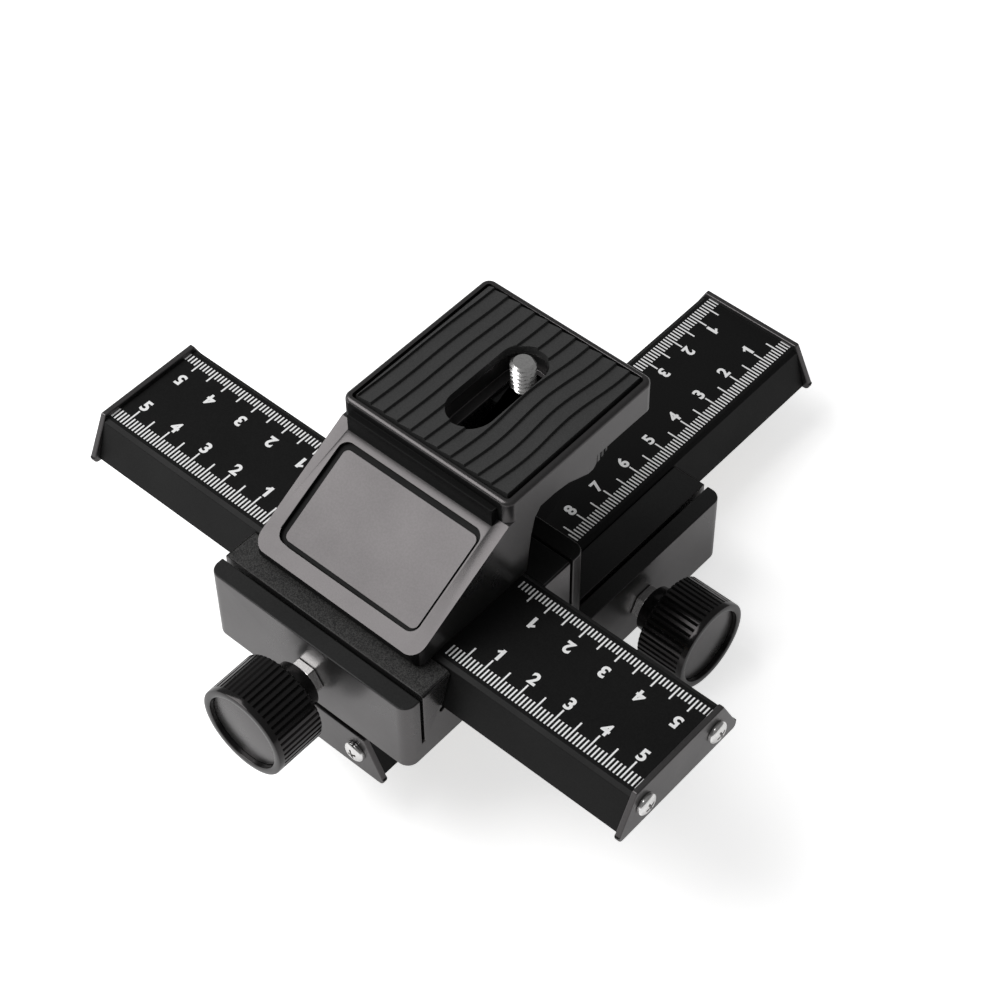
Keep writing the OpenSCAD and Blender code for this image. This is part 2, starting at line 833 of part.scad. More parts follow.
module turret() {
    brow_s = panel_len - brow_out / cos(panel_angle);
    color([0.12, 0.12, 0.13])
    at_turret()
    difference() {
        union() {
            difference() {
                union() {
                    intersection() {
                        along_x(turret_w)
                            turret_outline();
                        plan_plate(turret_w, panel_foot[0], platform_rear, -over, platform_top + over, turret_corner_r);
                    }
                    plan_plate(turret_w, platform_front, platform_rear, skirt_z, platform_top, platform_corner_r);
                    along_x(turret_w)
                        wing_outline();
                    along_x(2 * brow_hw)
                        polygon([
                            [platform_front - brow_out, panel_foot[1] + brow_s * sin(panel_angle)],
                            [platform_front - brow_out, brow_top], [platform_front + over, brow_top],
                            [platform_front + over, panel_head[1] - over]
                        ]);
                }
                along_x(2 * cavity_x)
                    cavity_outline();
            }
            for (s = [-1, 1]) {
                translate([s * (guide_hw + guide_out) / 2, (guide_y0 + guide_y1) / 2, (lip_z + web_under) / 2])
                    cube([guide_out - guide_hw, guide_y1 - guide_y0, web_under - lip_z + eps], center = true);
                translate([s * (lip_hw + guide_out) / 2, (guide_y0 + guide_y1) / 2, lip_z + lip_t / 2])
                    cube([guide_out - lip_hw, guide_y1 - guide_y0, lip_t], center = true);
            }
        }
        plan_plate(2 * tray_x, tray_y0, tray_y1, tray_z, platform_top + over, tray_corner_r);
        slot_prism(pad_slot_hw, slot_y0, slot_y1, web_top, platform_top + over);
        translate([-web_slot_hw, web_slot_y0, web_under - over])
            cube([2 * web_slot_hw, web_slot_y1 - web_slot_y0, web_top - web_under + 2 * over]);
        on_panel()
            plan_plate(badge_w, badge_s0, badge_s1, -badge_recess, over, badge_corner_r);
        for (s = [-1, 1])
            translate([s * turret_bolt_x, 0, -over])
                cylinder(r = bolt_r + seat_gap, h = turret_bolt_len + over + 0.2);
    }
}

module turret_bolts() {
    head_z = rail_h;
    color([0.3, 0.3, 0.31])
    at_turret()
    for (s = [-1, 1])
        translate([s * turret_bolt_x, 0, -head_z + 0.1])
            rotate([180, 0, 0])
                difference() {
                    sunk_bolt(bolt_r, bolt_head_r, bolt_head_h, head_z + turret_bolt_len - 0.1);
                    cross_slot(bolt_slot_w, bolt_slot_t, bolt_slot_d);
                }
}

module badge_plate() {
    color([0.14, 0.14, 0.15])
    at_turret()
    on_panel()
        translate([(badge_gap_left - badge_gap_right) / 2, 0, 0])
            plan_plate(badge_w - badge_gap_left - badge_gap_right, badge_s0 + badge_gap_low,
                badge_s1 - badge_gap_high, -badge_recess, badge_t - badge_recess, badge_plate_r);
}

module rubber_pad() {
    y0 = tray_y0 + pad_gap;
    y1 = tray_y1 - pad_gap;
    x1 = tray_x - pad_gap;
    color([0.2, 0.2, 0.2])
    at_turret()
    difference() {
        translate([-x1, y0, tray_z])
            cube([2 * x1, y1 - y0, pad_t]);
        slot_prism(pad_slot_hw, slot_y0, slot_y1, tray_z - over, tray_z + pad_t + over);
        for (i = [0 : floor((2 * x1 - pad_first_stripe) / pad_pitch)])
            translate([-x1 + pad_first_stripe + i * pad_pitch - 0.2, y0 - over, tray_z + pad_t - 0.4])
                cube([0.4, y1 - y0 + 2 * over, over]);
    }
}

// ---- camera screw ----

module screw_slider() {
    color([0.7, 0.7, 0.72])
    at_turret()
    translate([0, stud_y, slide_z0])
        difference() {
            translate([-slide_hw, -slide_hw, 0])
                cube([2 * slide_hw, 2 * slide_hw, slide_t]);
            translate([0, 0, -over])
                cylinder(r = neck_r + turn_fit, h = slide_t + 2 * over);
        }
}

module wheel_washer() {
    color([0.75, 0.68, 0.55])
    at_turret()
    translate([0, stud_y, wheel_z + wheel_t])
        difference() {
            cylinder(r = washer_r, h = washer_t);
            translate([0, 0, -over])
                cylinder(r = neck_r + turn_fit, h = washer_t + 2 * over);
        }
}

module camera_screw() {
    shoulder_z = slide_z0 + slide_t;
    thread_z = web_top + thread_gap;
    chamfer = 0.8;
    color([0.8, 0.8, 0.82])
    at_turret()
    translate([0, stud_y, 0]) {
        translate([0, 0, shoulder_z])
            cylinder(r = stud_r - thread_relief, h = thread_z - shoulder_z + eps);
        translate([0, 0, thread_z])
            cylinder(r = stud_r, h = stud_top - chamfer - thread_z);
        translate([0, 0, stud_top - chamfer])
            cylinder(r1 = stud_r, r2 = stud_r - chamfer, h = chamfer);
        translate([0, 0, wheel_z + 0.5])
            cylinder(r = neck_r, h = shoulder_z - wheel_z);
    }
}

module thumb_wheel() {
    color([0.08, 0.08, 0.08])
    at_turret()
    translate([0, stud_y, wheel_z])
        difference() {
            cylinder(r = wheel_r, h = wheel_t);
            translate([0, 0, 0.5])
                cylinder(r = neck_r + seat_gap, h = wheel_t);
            translate([0, 0, -over])
                difference() {
                    cylinder(r = wheel_r - 2.5, h = 2 + over);
                    cylinder(r = wheel_hub_r, h = 3 * over);
                }
            for (i = [0 : wheel_ribs - 1])
                rotate([0, 0, i * 360 / wheel_ribs])
                    translate([wheel_r + 0.15, 0, -over])
                        cylinder(r = 0.6, h = wheel_t + 2 * over, $fn = 24);
        }
}

// ---- the pieces of each stage ----

module lower_drive_bush() {
    color([0.82, 0.82, 0.83])
        drive_bush();
}

module lower_drive_shaft() {
    color([0.7, 0.7, 0.72])
        drive_shaft();
}

module lower_pinion() {
    color([0.8, 0.68, 0.4])
        pinion();
}

module lower_knob() {
    color([0.09, 0.09, 0.1])
        knob();
}

module lower_knob_cap() {
    color([0.4, 0.39, 0.39])
        knob_cap();
}

module lower_knob_grub() {
    color([0.3, 0.3, 0.31])
        knob_grub();
}

module lower_lock_screw() {
    color([0.7, 0.7, 0.72])
        lock_screw();
}

module lower_lock_knob() {
    color([0.09, 0.09, 0.1])
        lock_knob();
}

module lower_rack() {
    color([0.8, 0.68, 0.4])
        rack();
}

module lower_rack_screws() {
    color([0.7, 0.7, 0.72])
        rack_screws();
}

module lower_far_plate() {
    color([0.1, 0.1, 0.11])
        end_plate(1);
}

module lower_near_plate() {
    color([0.1, 0.1, 0.11])
        end_plate(-1);
}

module lower_plate_screws() {
    color([0.85, 0.85, 0.86])
        plate_screws();
}

module upper_drive_bush() {
    color([0.82, 0.82, 0.83])
        at_upper()
            drive_bush();
}

module upper_drive_shaft() {
    color([0.7, 0.7, 0.72])
        at_upper()
            drive_shaft();
}

module upper_pinion() {
    color([0.8, 0.68, 0.4])
        at_upper()
            pinion();
}

module upper_knob() {
    color([0.09, 0.09, 0.1])
        at_upper()
            knob();
}

module upper_knob_cap() {
    color([0.4, 0.39, 0.39])
        at_upper()
            knob_cap();
}

module upper_knob_grub() {
    color([0.3, 0.3, 0.31])
        at_upper()
            knob_grub();
}

module upper_lock_screw() {
    color([0.7, 0.7, 0.72])
        at_upper()
            lock_screw();
}

module upper_lock_knob() {
    color([0.09, 0.09, 0.1])
        at_upper()
            lock_knob();
}

module upper_rack() {
    color([0.8, 0.68, 0.4])
        at_upper()
            rack();
}

module upper_rack_screws() {
    color([0.7, 0.7, 0.72])
        at_upper()
            rack_screws();
}

module upper_left_plate() {
    color([0.1, 0.1, 0.11])
        at_upper()
            end_plate(-1);
}

module upper_right_plate() {
    color([0.1, 0.1, 0.11])
        at_upper()
            end_plate(1);
}

module upper_plate_screws() {
    color([0.85, 0.85, 0.86])
        at_upper()
            plate_screws();
}

lower_carriage();
tripod_insert();
tripod_adapter();
lower_drive_bush();
lower_drive_shaft();
lower_pinion();
lower_knob();
lower_knob_cap();
lower_knob_grub();
lower_lock_screw();
lower_lock_knob();
lower_rail();
lower_rack();
lower_rack_screws();
lower_far_plate();
lower_near_plate();
lower_plate_screws();
stage_spacer();
stage_bolts();
upper_carriage();
upper_drive_bush();
upper_drive_shaft();
upper_pinion();
upper_knob();
upper_knob_cap();
upper_knob_grub();
upper_lock_screw();
upper_lock_knob();
upper_rail();
upper_rack();
upper_rack_screws();
upper_left_plate();
upper_right_plate();
upper_plate_screws();
turret();
turret_bolts();
badge_plate();
rubber_pad();
screw_slider();
wheel_washer();
camera_screw();
thumb_wheel();
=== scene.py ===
"""Looks for a four-way macro focusing rail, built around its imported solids.

Sizes are in millimetres in this file and turned into metres where a mesh is made. The frame is
the solids' own: +Z is up, the origin is the tripod socket, the lower rail runs along Y and the
upper rail along X.
"""
import logging
import math
from dataclasses import dataclass, field
from enum import Enum
from typing import Iterable, Optional, Sequence

import bmesh
import bpy
from mathutils import Matrix, Vector


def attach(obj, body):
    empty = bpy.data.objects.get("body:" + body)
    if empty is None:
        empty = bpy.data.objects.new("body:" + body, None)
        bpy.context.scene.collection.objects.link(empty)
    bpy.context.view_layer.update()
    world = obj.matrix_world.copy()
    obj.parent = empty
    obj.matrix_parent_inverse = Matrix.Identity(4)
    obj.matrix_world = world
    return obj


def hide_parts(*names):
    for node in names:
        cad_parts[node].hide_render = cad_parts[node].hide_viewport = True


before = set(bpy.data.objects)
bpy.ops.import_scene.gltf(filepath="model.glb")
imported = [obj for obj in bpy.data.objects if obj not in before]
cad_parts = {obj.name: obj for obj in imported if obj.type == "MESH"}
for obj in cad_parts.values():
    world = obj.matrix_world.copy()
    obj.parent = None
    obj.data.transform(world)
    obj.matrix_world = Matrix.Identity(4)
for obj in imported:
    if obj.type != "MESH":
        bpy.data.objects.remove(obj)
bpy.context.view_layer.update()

MM = 0.001
log = logging.getLogger("macro_rail")
BMesh = bmesh.types.BMesh
Socket = bpy.types.NodeSocket

# Heights and places that several classes share, as in the solids.
BLOCK_TOP = 21.5
RAIL_TOP = 22.7
SHAFT_Z = 8.9
LOCK_Z = 14.0
UPPER_Y = -52.4
UPPER_Z = 28.6
UPPER_RAIL_TOP = UPPER_Z + RAIL_TOP


def rotation(degrees: float, axis: str) -> Matrix:
    """A turn around an axis through the origin."""
    return Matrix.Rotation(math.radians(degrees), 4, axis)


class Stage(Enum):
    """The two stages of the rail, and the names of their bodies."""

    LOWER = "lower"
    UPPER = "upper"

    @property
    def carriage_body(self) -> str:
        """The body that the stage's carriage belongs to."""
        return "base" if self is Stage.LOWER else "middle"

    @property
    def rail_body(self) -> str:
        """The body that the stage's rail belongs to."""
        return "middle" if self is Stage.LOWER else "top"

    @property
    def place(self) -> Matrix:
        """The matrix from the stage's own frame to the solids' frame."""
        if self is Stage.LOWER:
            return Matrix.Identity(4)
        return Matrix.Translation((0.0, UPPER_Y, UPPER_Z)) @ rotation(-90.0, "Z")

    @property
    def rail_top(self) -> float:
        """The height of the rail's flat top."""
        return RAIL_TOP if self is Stage.LOWER else UPPER_RAIL_TOP


class Look(Enum):
    """Every finish on the rail."""

    CASTING = "casting_satin_black"
    BLOCK = "block_satin_black"
    LEDGE_GRAINED = "ledge_grained"
    LEDGE_SMOOTH = "ledge_smooth"
    SHADED = "casting_shaded_black"
    RAIL = "rail_anodised"
    PRINT = "scale_white"
    PLATE = "plate_satin_black"
    BADGE = "badge_satin_black"
    RUBBER = "pad_rubber"
    KNOB = "knob_satin_black"
    CAP = "cap_satin"
    BRIGHT = "nickel_bright"
    STEEL = "steel_turned"
    DARK_STEEL = "steel_black_oxide"
    BRASS = "brass_machined"
    NYLON = "nylon_washer"


# ---------------------------------------------------------------- shader nodes


@dataclass
class NodeSheet:
    """Adds and links the nodes of one tree."""

    tree: bpy.types.NodeTree

    def add(self, kind: str, **settings: object) -> bpy.types.Node:
        """Add a node.

        Args:
            kind: the node's Blender type, such as ShaderNodeBump.
            settings: properties to set on it.

        Returns:
            The new node.
        """
        node = self.tree.nodes.new(kind)
        for name, value in settings.items():
            setattr(node, name, value)
        return node

    def link(self, source: Socket, target: Socket) -> None:
        """Join an output to an input."""
        self.tree.links.new(source, target)

    @staticmethod
    def fill(node: bpy.types.Node, values: dict[str, object]) -> None:
        """Set a node's own inputs by their names."""
        for name, value in values.items():
            node.inputs[name].default_value = value

    def maths(self, operation: str, first: object, second: object, clamp: bool = False) -> Socket:
        """Add a Math node.

        Args:
            operation: what it does, such as ADD.
            first: a socket or a number.
            second: a socket or a number.
            clamp: whether the result is kept between 0 and 1.

        Returns:
            The result's socket.
        """
        node = self.add("ShaderNodeMath", operation=operation, use_clamp=clamp)
        for entry, value in zip(node.inputs, (first, second)):
            if isinstance(value, Socket):
                self.link(value, entry)
            else:
                entry.default_value = float(value)
        return node.outputs[0]

    def noise(self, coords: Socket, scale: object, detail: float, rough: float) -> Socket:
        """Add a noise texture.

        Args:
            coords: the coordinates that it reads.
            scale: cells per metre, as a number or a socket.
            detail: octaves.
            rough: how strong the finer octaves are.

        Returns:
            The noise value's socket.
        """
        node = self.add("ShaderNodeTexNoise")
        self.fill(node, {"Detail": detail, "Roughness": rough})
        self.link(coords, node.inputs["Vector"])
        if isinstance(scale, Socket):
            self.link(scale, node.inputs["Scale"])
        else:
            self.fill(node, {"Scale": float(scale)})
        return node.outputs["Fac"]

    def spread(self, value: Socket, start: float, end: float, low: float, high: float) -> Socket:
        """Map a value from one range to another and clamp it.

        Args:
            value: the value to map.
            start: start of its range.
            end: end of its range.
            low: what the start becomes.
            high: what the end becomes.

        Returns:
            The mapped value's socket.
        """
        node = self.add("ShaderNodeMapRange", clamp=True)
        self.link(value, node.inputs["Value"])
        self.fill(node, {"From Min": start, "From Max": end, "To Min": low, "To Max": high})
        return node.outputs["Result"]


def new_group(name: str, entries: Sequence[tuple[str, float]],
              exits: Sequence[str]) -> tuple[NodeSheet, bpy.types.Node, bpy.types.Node]:
    """Start a shader node group with float inputs and outputs.

    Args:
        name: the group's name.
        entries: name and default of each input.
        exits: name of each output.

    Returns:
        A sheet for its tree, its input node and its output node.
    """
    tree = bpy.data.node_groups.new(name, "ShaderNodeTree")
    for label, default in entries:
        socket = tree.interface.new_socket(name=label, in_out="INPUT", socket_type="NodeSocketFloat")
        socket.default_value = default
    for label in exits:
        tree.interface.new_socket(name=label, in_out="OUTPUT", socket_type="NodeSocketFloat")
    sheet = NodeSheet(tree)
    return sheet, sheet.add("NodeGroupInput"), sheet.add("NodeGroupOutput")


class SharedEffects:
    """The node groups that every finish shares."""

    def __init__(self) -> None:
        """Build the groups once."""
        self.grain = self.make_grain()
        self.clouds = self.make_clouds()

    @staticmethod
    def make_grain() -> bpy.types.NodeTree:
        """Build fine grain as a speckle mask and a height.

        Returns:
            A tree with inputs Scale and Sharpness and outputs Mask and Height.
        """
        entries = [("Scale", 2000.0), ("Sharpness", 0.5)]
        sheet, entry, leave = new_group("fine_grain", entries, ["Mask", "Height"])
        coords = sheet.add("ShaderNodeTexCoord").outputs["Object"]
        value = sheet.noise(coords, entry.outputs["Scale"], 3.0, 0.6)
        centred = sheet.maths("SUBTRACT", value, 0.5)
        steep = sheet.maths("MULTIPLY", entry.outputs["Sharpness"], 10.0)
        mask = sheet.maths("ADD", sheet.maths("MULTIPLY", centred, steep), 0.5, clamp=True)
        sheet.link(mask, leave.inputs["Mask"])
        sheet.link(value, leave.inputs["Height"])
        return sheet.tree

    @staticmethod
    def make_clouds() -> bpy.types.NodeTree:
        """Build the soft cloudy marks that handling leaves.

        Returns:
            A tree with input Scale and output Clouds.
        """
        sheet, entry, leave = new_group("handling_marks", [("Scale", 60.0)], ["Clouds"])
        coords = sheet.add("ShaderNodeTexCoord").outputs["Object"]
        value = sheet.noise(coords, entry.outputs["Scale"], 4.0, 0.55)
        sheet.link(sheet.spread(value, 0.3, 0.7, 0.0, 1.0), leave.inputs["Clouds"])
        return sheet.tree


@dataclass(frozen=True)
class Finish:
    """One surface finish: a Principled shader fed by the shared grain and clouds.

    Shade and light are greys or colours that the grain mixes. Rough is the roughness between the
    clouds and inside them. Tint colours the reflections. Grain and cloud are cells per metre, and
    bump_depth is in millimetres.
    """

    shade: tuple[float, float, float]
    light: tuple[float, float, float]
    metallic: float = 0.0
    rough: tuple[float, float] = (0.35, 0.45)
    grain: float = 2500.0
    sharpness: float = 0.3
    bump: float = 0.15
    bump_depth: float = 0.02
    ior: float = 1.5
    specular: float = 0.5
    tint: tuple[float, float, float] = (1.0, 1.0, 1.0)
    cloud: float = 60.0

    def build(self, name: str, effects: SharedEffects) -> bpy.types.Material:
        """Make the material.

        Args:
            name: the material's name.
            effects: the shared node groups.

        Returns:
            The node material.
        """
        material = bpy.data.materials.new(name)
        material.use_nodes = True
        sheet = NodeSheet(material.node_tree)
        shader = material.node_tree.nodes["Principled BSDF"]
        grain = sheet.add("ShaderNodeGroup", node_tree=effects.grain)
        sheet.fill(grain, {"Scale": self.grain, "Sharpness": self.sharpness})
        clouds = sheet.add("ShaderNodeGroup", node_tree=effects.clouds)
        sheet.fill(clouds, {"Scale": self.cloud})
        mix = sheet.add("ShaderNodeMix", data_type="RGBA")
        factor = next(s for s in mix.inputs if s.name == "Factor" and s.type == "VALUE")
        first, second = [s for s in mix.inputs if s.type == "RGBA"]
        first.default_value = (*self.shade, 1.0)
        second.default_value = (*self.light, 1.0)
        sheet.link(grain.outputs["Mask"], factor)
        sheet.link(next(s for s in mix.outputs if s.type == "RGBA"), shader.inputs["Base Color"])
        rough = sheet.spread(clouds.outputs["Clouds"], 0.0, 1.0, *self.rough)
        sheet.link(rough, shader.inputs["Roughness"])
        bump = sheet.add("ShaderNodeBump")
        sheet.fill(bump, {"Strength": self.bump, "Distance": self.bump_depth * MM})
        sheet.link(grain.outputs["Height"], bump.inputs["Height"])
        sheet.link(bump.outputs["Normal"], shader.inputs["Normal"])
        sheet.fill(shader, {
            "Metallic": self.metallic, "IOR": self.ior,
            "Specular IOR Level": self.specular, "Specular Tint": (*self.tint, 1.0),
        })
        return material


def grey(value: float, warm: float = 0.0) -> tuple[float, float, float]:
    """A grey, warmer by the share warm."""
    return (value * (1 + warm), value, value * (1 - warm))


WARM = (1.0, 0.94, 0.95)
FINISHES: dict[Look, Finish] = {
    Look.CASTING: Finish(grey(0.014), grey(0.022),
        ior=1.66, rough=(0.26, 0.34), grain=3000, bump=0.1, tint=WARM),
    Look.BLOCK: Finish(grey(0.012), grey(0.02),
        ior=1.78, rough=(0.25, 0.35), grain=2600, bump=0.12, tint=WARM),
    Look.LEDGE_GRAINED: Finish(grey(0.008), grey(0.05, 0.02),
        rough=(0.5, 0.62), grain=4000, sharpness=0.6, bump=0.6, bump_depth=0.05,
        specular=0.3),
    # Darker smooth ledge: the lower block's own smooth ledges, and painted shade on the upper block's ledge
    # in the turret's shadow.
    Look.LEDGE_SMOOTH: Finish(grey(0.008), grey(0.014),
        rough=(0.4, 0.5), grain=2400, bump=0.2, bump_depth=0.03, specular=0.3),
    # Painted shade: a near-black casting finish in place of the shadow in the turret's gaps, recess and
    # tray, and over and under its slanted front.
    Look.SHADED: Finish(grey(0.005), grey(0.008),
        rough=(0.4, 0.5), grain=3000, bump=0.1, ior=1.3, specular=0.15),
    Look.RAIL: Finish(grey(0.006), grey(0.009),
        rough=(0.4, 0.5), grain=2600, sharpness=0.35, ior=1.35, specular=0.2),
    Look.PRINT: Finish(grey(0.86), grey(0.93), rough=(0.5, 0.6), grain=3000, bump=0.1),
    Look.PLATE: Finish(grey(0.016), grey(0.025),
        ior=1.74, rough=(0.28, 0.38), grain=2600, bump=0.12, tint=WARM),
    Look.BADGE: Finish(grey(0.018), grey(0.03),
        ior=1.66, rough=(0.3, 0.38), grain=2000, sharpness=0.5, bump=0.25,
        bump_depth=0.03, tint=WARM),
    Look.RUBBER: Finish(grey(0.024), grey(0.038),
        rough=(0.5, 0.65), grain=3500, sharpness=0.4, bump=0.3, bump_depth=0.03,
        specular=0.4),
    Look.KNOB: Finish(grey(0.006), grey(0.01),
        ior=1.42, rough=(0.12, 0.2), grain=2600, bump=0.06, tint=WARM),
    Look.CAP: Finish(grey(0.018), grey(0.026),
        ior=1.8, rough=(0.24, 0.32), grain=3200, bump=0.12, tint=WARM),
    Look.BRIGHT: Finish(grey(0.7, 0.01), grey(0.82, 0.01), metallic=1.0,
        rough=(0.18, 0.28), grain=1800, bump=0.04),
    Look.STEEL: Finish(grey(0.45), grey(0.58), metallic=1.0, rough=(0.3, 0.42), grain=2200),
    Look.DARK_STEEL: Finish(grey(0.012), grey(0.02), metallic=0.2,
        rough=(0.35, 0.45), grain=2200, specular=0.3),
    Look.BRASS: Finish((0.55, 0.4, 0.16), (0.7, 0.53, 0.24), metallic=1.0,
        rough=(0.25, 0.38), grain=2000, bump=0.12),
    Look.NYLON: Finish((0.5, 0.45, 0.34), (0.6, 0.55, 0.43),
        rough=(0.45, 0.55), grain=1500, bump=0.1),
}


@dataclass
class Palette:
    """The built materials, one for each finish."""

    materials: dict[Look, bpy.types.Material] = field(default_factory=dict)

    @classmethod
    def build(cls) -> "Palette":
        """Build every finish once."""
        effects = SharedEffects()
        return cls({look: finish.build(look.value, effects) for look, finish in FINISHES.items()})

    def __getitem__(self, look: Look) -> bpy.types.Material:
        """The material of a finish."""
        return self.materials[look]


# ---------------------------------------------------------------- mesh tools


def stored(mesh: BMesh, name: str) -> bpy.types.Mesh:
    """Turn a bmesh into mesh data and free it."""
    data = bpy.data.meshes.new(name)
    mesh.to_mesh(data)
    mesh.free()
    return data


def linked(name: str, data: bpy.types.ID) -> bpy.types.Object:
    """Make an object of its data and link it to the scene."""
    holder = bpy.data.objects.new(name, data)
    bpy.context.scene.collection.objects.link(holder)
    return holder


def verts_of(items: Iterable[object]) -> list[bmesh.types.BMVert]:
    """The vertices among the elements of a mesh."""
    return [item for item in items if isinstance(item, bmesh.types.BMVert)]


def add_tile(mesh: BMesh, place: Matrix, half: float = 0.5) -> None:
    """Add one flat square, twice half wide before its matrix moves and stretches it."""
    bmesh.ops.create_grid(mesh, x_segments=1, y_segments=1, size=half, matrix=place)


@dataclass
class Edges:
    """How a piece's sharp edges are broken.

    Width is in millimetres, segments are the faces around an edge and angle_deg is the least angle
    that counts as sharp. A weighted piece marks by itself the edges that are broken.
    """

    width: float
    segments: int = 2
    angle_deg: float = 35.0
    weighted: bool = False

    def apply(self, piece: bpy.types.Object) -> None:
        """Add the Bevel modifier to a piece."""
        bevel = piece.modifiers.new("broken_edges", "BEVEL")
        bevel.width = self.width * MM
        bevel.segments = self.segments
        bevel.limit_method = "WEIGHT" if self.weighted else "ANGLE"
        bevel.angle_limit = math.radians(self.angle_deg)
        bevel.use_clamp_overlap = False
        bevel.harden_normals = not self.weighted
        if self.weighted:
            even = piece.modifiers.new("even_faces", "WEIGHTED_NORMAL")
            even.keep_sharp = True


@dataclass
class Piece:
    """What a finished piece is called, what it stands for and how it is made up."""

    name: str
    body: str
    slot: str
    looks: Sequence[Look]
    replaces: Sequence[str] = ()
    edges: Optional[Edges] = None
    smooth_deg: float = 32.0

    def make(self, mesh: BMesh, palette: Palette, scale: float = MM) -> bpy.types.Object:
        """Turn a bmesh in the solids' frame into an object that rides on its body.

        Args:
            mesh: the shape. It is freed.
            palette: the built finishes.
            scale: metres per unit of the mesh.

        Returns:
            The new object.
        """
        if scale != 1.0:
            bmesh.ops.scale(mesh, vec=(scale, scale, scale), verts=mesh.verts)
        mesh.normal_update()
        data = stored(mesh, self.name)
        piece = linked(self.name, data)
        for look in self.looks:
            data.materials.append(palette[look])
        data.shade_smooth()
        data.set_sharp_from_angle(angle=math.radians(self.smooth_deg))
        if self.edges:
            self.edges.apply(piece)
        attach(piece, self.body)
        if self.replaces:
            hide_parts(*self.replaces)
        log.info("%s: %d faces, on %s", self.name, len(data.polygons), self.body)
        return piece

    def make_copy(self, palette: Palette) -> bpy.types.Object:
        """Turn a cleaned copy of the one node that the piece replaces into its object."""
        return self.make(merged_copy(self.replaces[0]), palette, METRES)


METRES = 1.0  # the scale of a mesh that is in metres already
MERGE_DISTANCE = 0.002 * MM
FLAT_DEG = 0.4


def merged_copy(node: str) -> BMesh:
    """Copy a node's mesh, merge its doubles and join its flat faces.

    Args:
        node: the node's name.

    Returns:
        The copy, in metres.
    """
    mesh = bmesh.new()
    mesh.from_mesh(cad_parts[node].data)
    bmesh.ops.remove_doubles(mesh, verts=mesh.verts, dist=MERGE_DISTANCE)
    bmesh.ops.dissolve_limit(mesh, angle_limit=math.radians(FLAT_DEG), verts=mesh.verts, edges=mesh.edges)
    for face in mesh.faces:
        face.material_index = 0
    return mesh


@dataclass(frozen=True)
class Ribs:
    """Ribs around a turned piece: how many, how deep and how many points for each."""

    count: int
    depth: float
    points: int = 8
    groove: tuple[float, ...] = (0.0, 0.0, 0.0, 0.0, 0.0, 0.75, 1.0, 0.75)

    @property
    def segments(self) -> int:
        """Points around the whole piece."""
        return self.count * self.points

    def drop(self, index: int) -> float:
        """How far the surface lies below the ribs' tops at a point around."""
        return self.depth * self.groove[index % self.points]


@dataclass(frozen=True)
class Ring:
    """One ring of a turned shape: radius, place along the axis and share of the ribs' depth."""

    radius: float
    along: float
    rib: float = 0.0


def turned(rings: Sequence[Ring], segments: int, ribs: Optional[Ribs] = None, closed: bool = False) -> BMesh:
    """Spin a profile around +Z, then sink the grooves between its ribs.

    Args:
        rings: the profile, from one end to the other.
        segments: points around, unless ribs are given.
        ribs: the ribs around it, or None.
        closed: whether the last ring joins the first.

    Returns:
        The shape, in millimetres.
    """
    steps = ribs.segments if ribs else segments
    mesh = bmesh.new()
    share = mesh.verts.layers.float.new("rib_share")
    points = []
    for ring in rings:
        vert = mesh.verts.new((ring.radius, 0.0, ring.along))
        vert[share] = ring.rib
        points.append(vert)
    pairs = list(zip(points, points[1:])) + ([(points[-1], points[0])] if closed else [])
    profile = [mesh.edges.new(pair) for pair in pairs]
    bmesh.ops.spin(mesh, geom=points + profile, cent=(0, 0, 0), axis=(0, 0, 1), angle=math.tau,
                   steps=steps, use_merge=True)
    if ribs:
        for vert in mesh.verts:
            if vert[share] > 0.0:
                index = round(math.atan2(vert.co.y, vert.co.x) / math.tau * steps) % steps
                radius = math.hypot(vert.co.x, vert.co.y)
                keep = (radius - vert[share] * ribs.drop(index)) / radius
                vert.co.x *= keep
                vert.co.y *= keep
    bmesh.ops.remove_doubles(mesh, verts=mesh.verts, dist=1e-4)
    bmesh.ops.recalc_face_normals(mesh, faces=mesh.faces)
    return mesh


def placed(mesh: BMesh, *steps: Matrix) -> BMesh:
    """Move a mesh by a chain of matrices, the last one first."""
    matrix = Matrix.Identity(4)
    for step in steps:
        matrix = matrix @ step
    bmesh.ops.transform(mesh, matrix=matrix, verts=mesh.verts)
    return mesh


def carved(body: BMesh, tool: BMesh) -> BMesh:
    """Cut one closed mesh out of another. Both are freed.

    Args:
        body: what is cut.
        tool: what is taken away.

    Returns:
        What is left, in the same units.
    """
    holders = [linked(name, stored(mesh, name))
               for name, mesh in (("carved_body", body), ("carving_tool", tool))]
    cut = holders[0].modifiers.new("cut", "BOOLEAN")
    cut.operation = "DIFFERENCE"
    cut.solver = "EXACT"
    cut.object = holders[1]
    bpy.context.view_layer.update()
    left = bmesh.new()
    left.from_object(holders[0], bpy.context.evaluated_depsgraph_get())
    for holder in holders:
        data = holder.data
        bpy.data.objects.remove(holder)
        bpy.data.meshes.remove(data)
    return left


SHAFT_AXIS = Matrix.Translation((0.0, 0.0, SHAFT_Z)) @ rotation(90.0, "Y")
LOCK_AXIS = Matrix.Translation((0.0, 0.0, LOCK_Z)) @ rotation(-90.0, "Y")
TURRET_PLACE = Matrix.Translation((0.0, UPPER_Y, UPPER_RAIL_TOP))


# ---------------------------------------------------------------- carriages, rails and plates


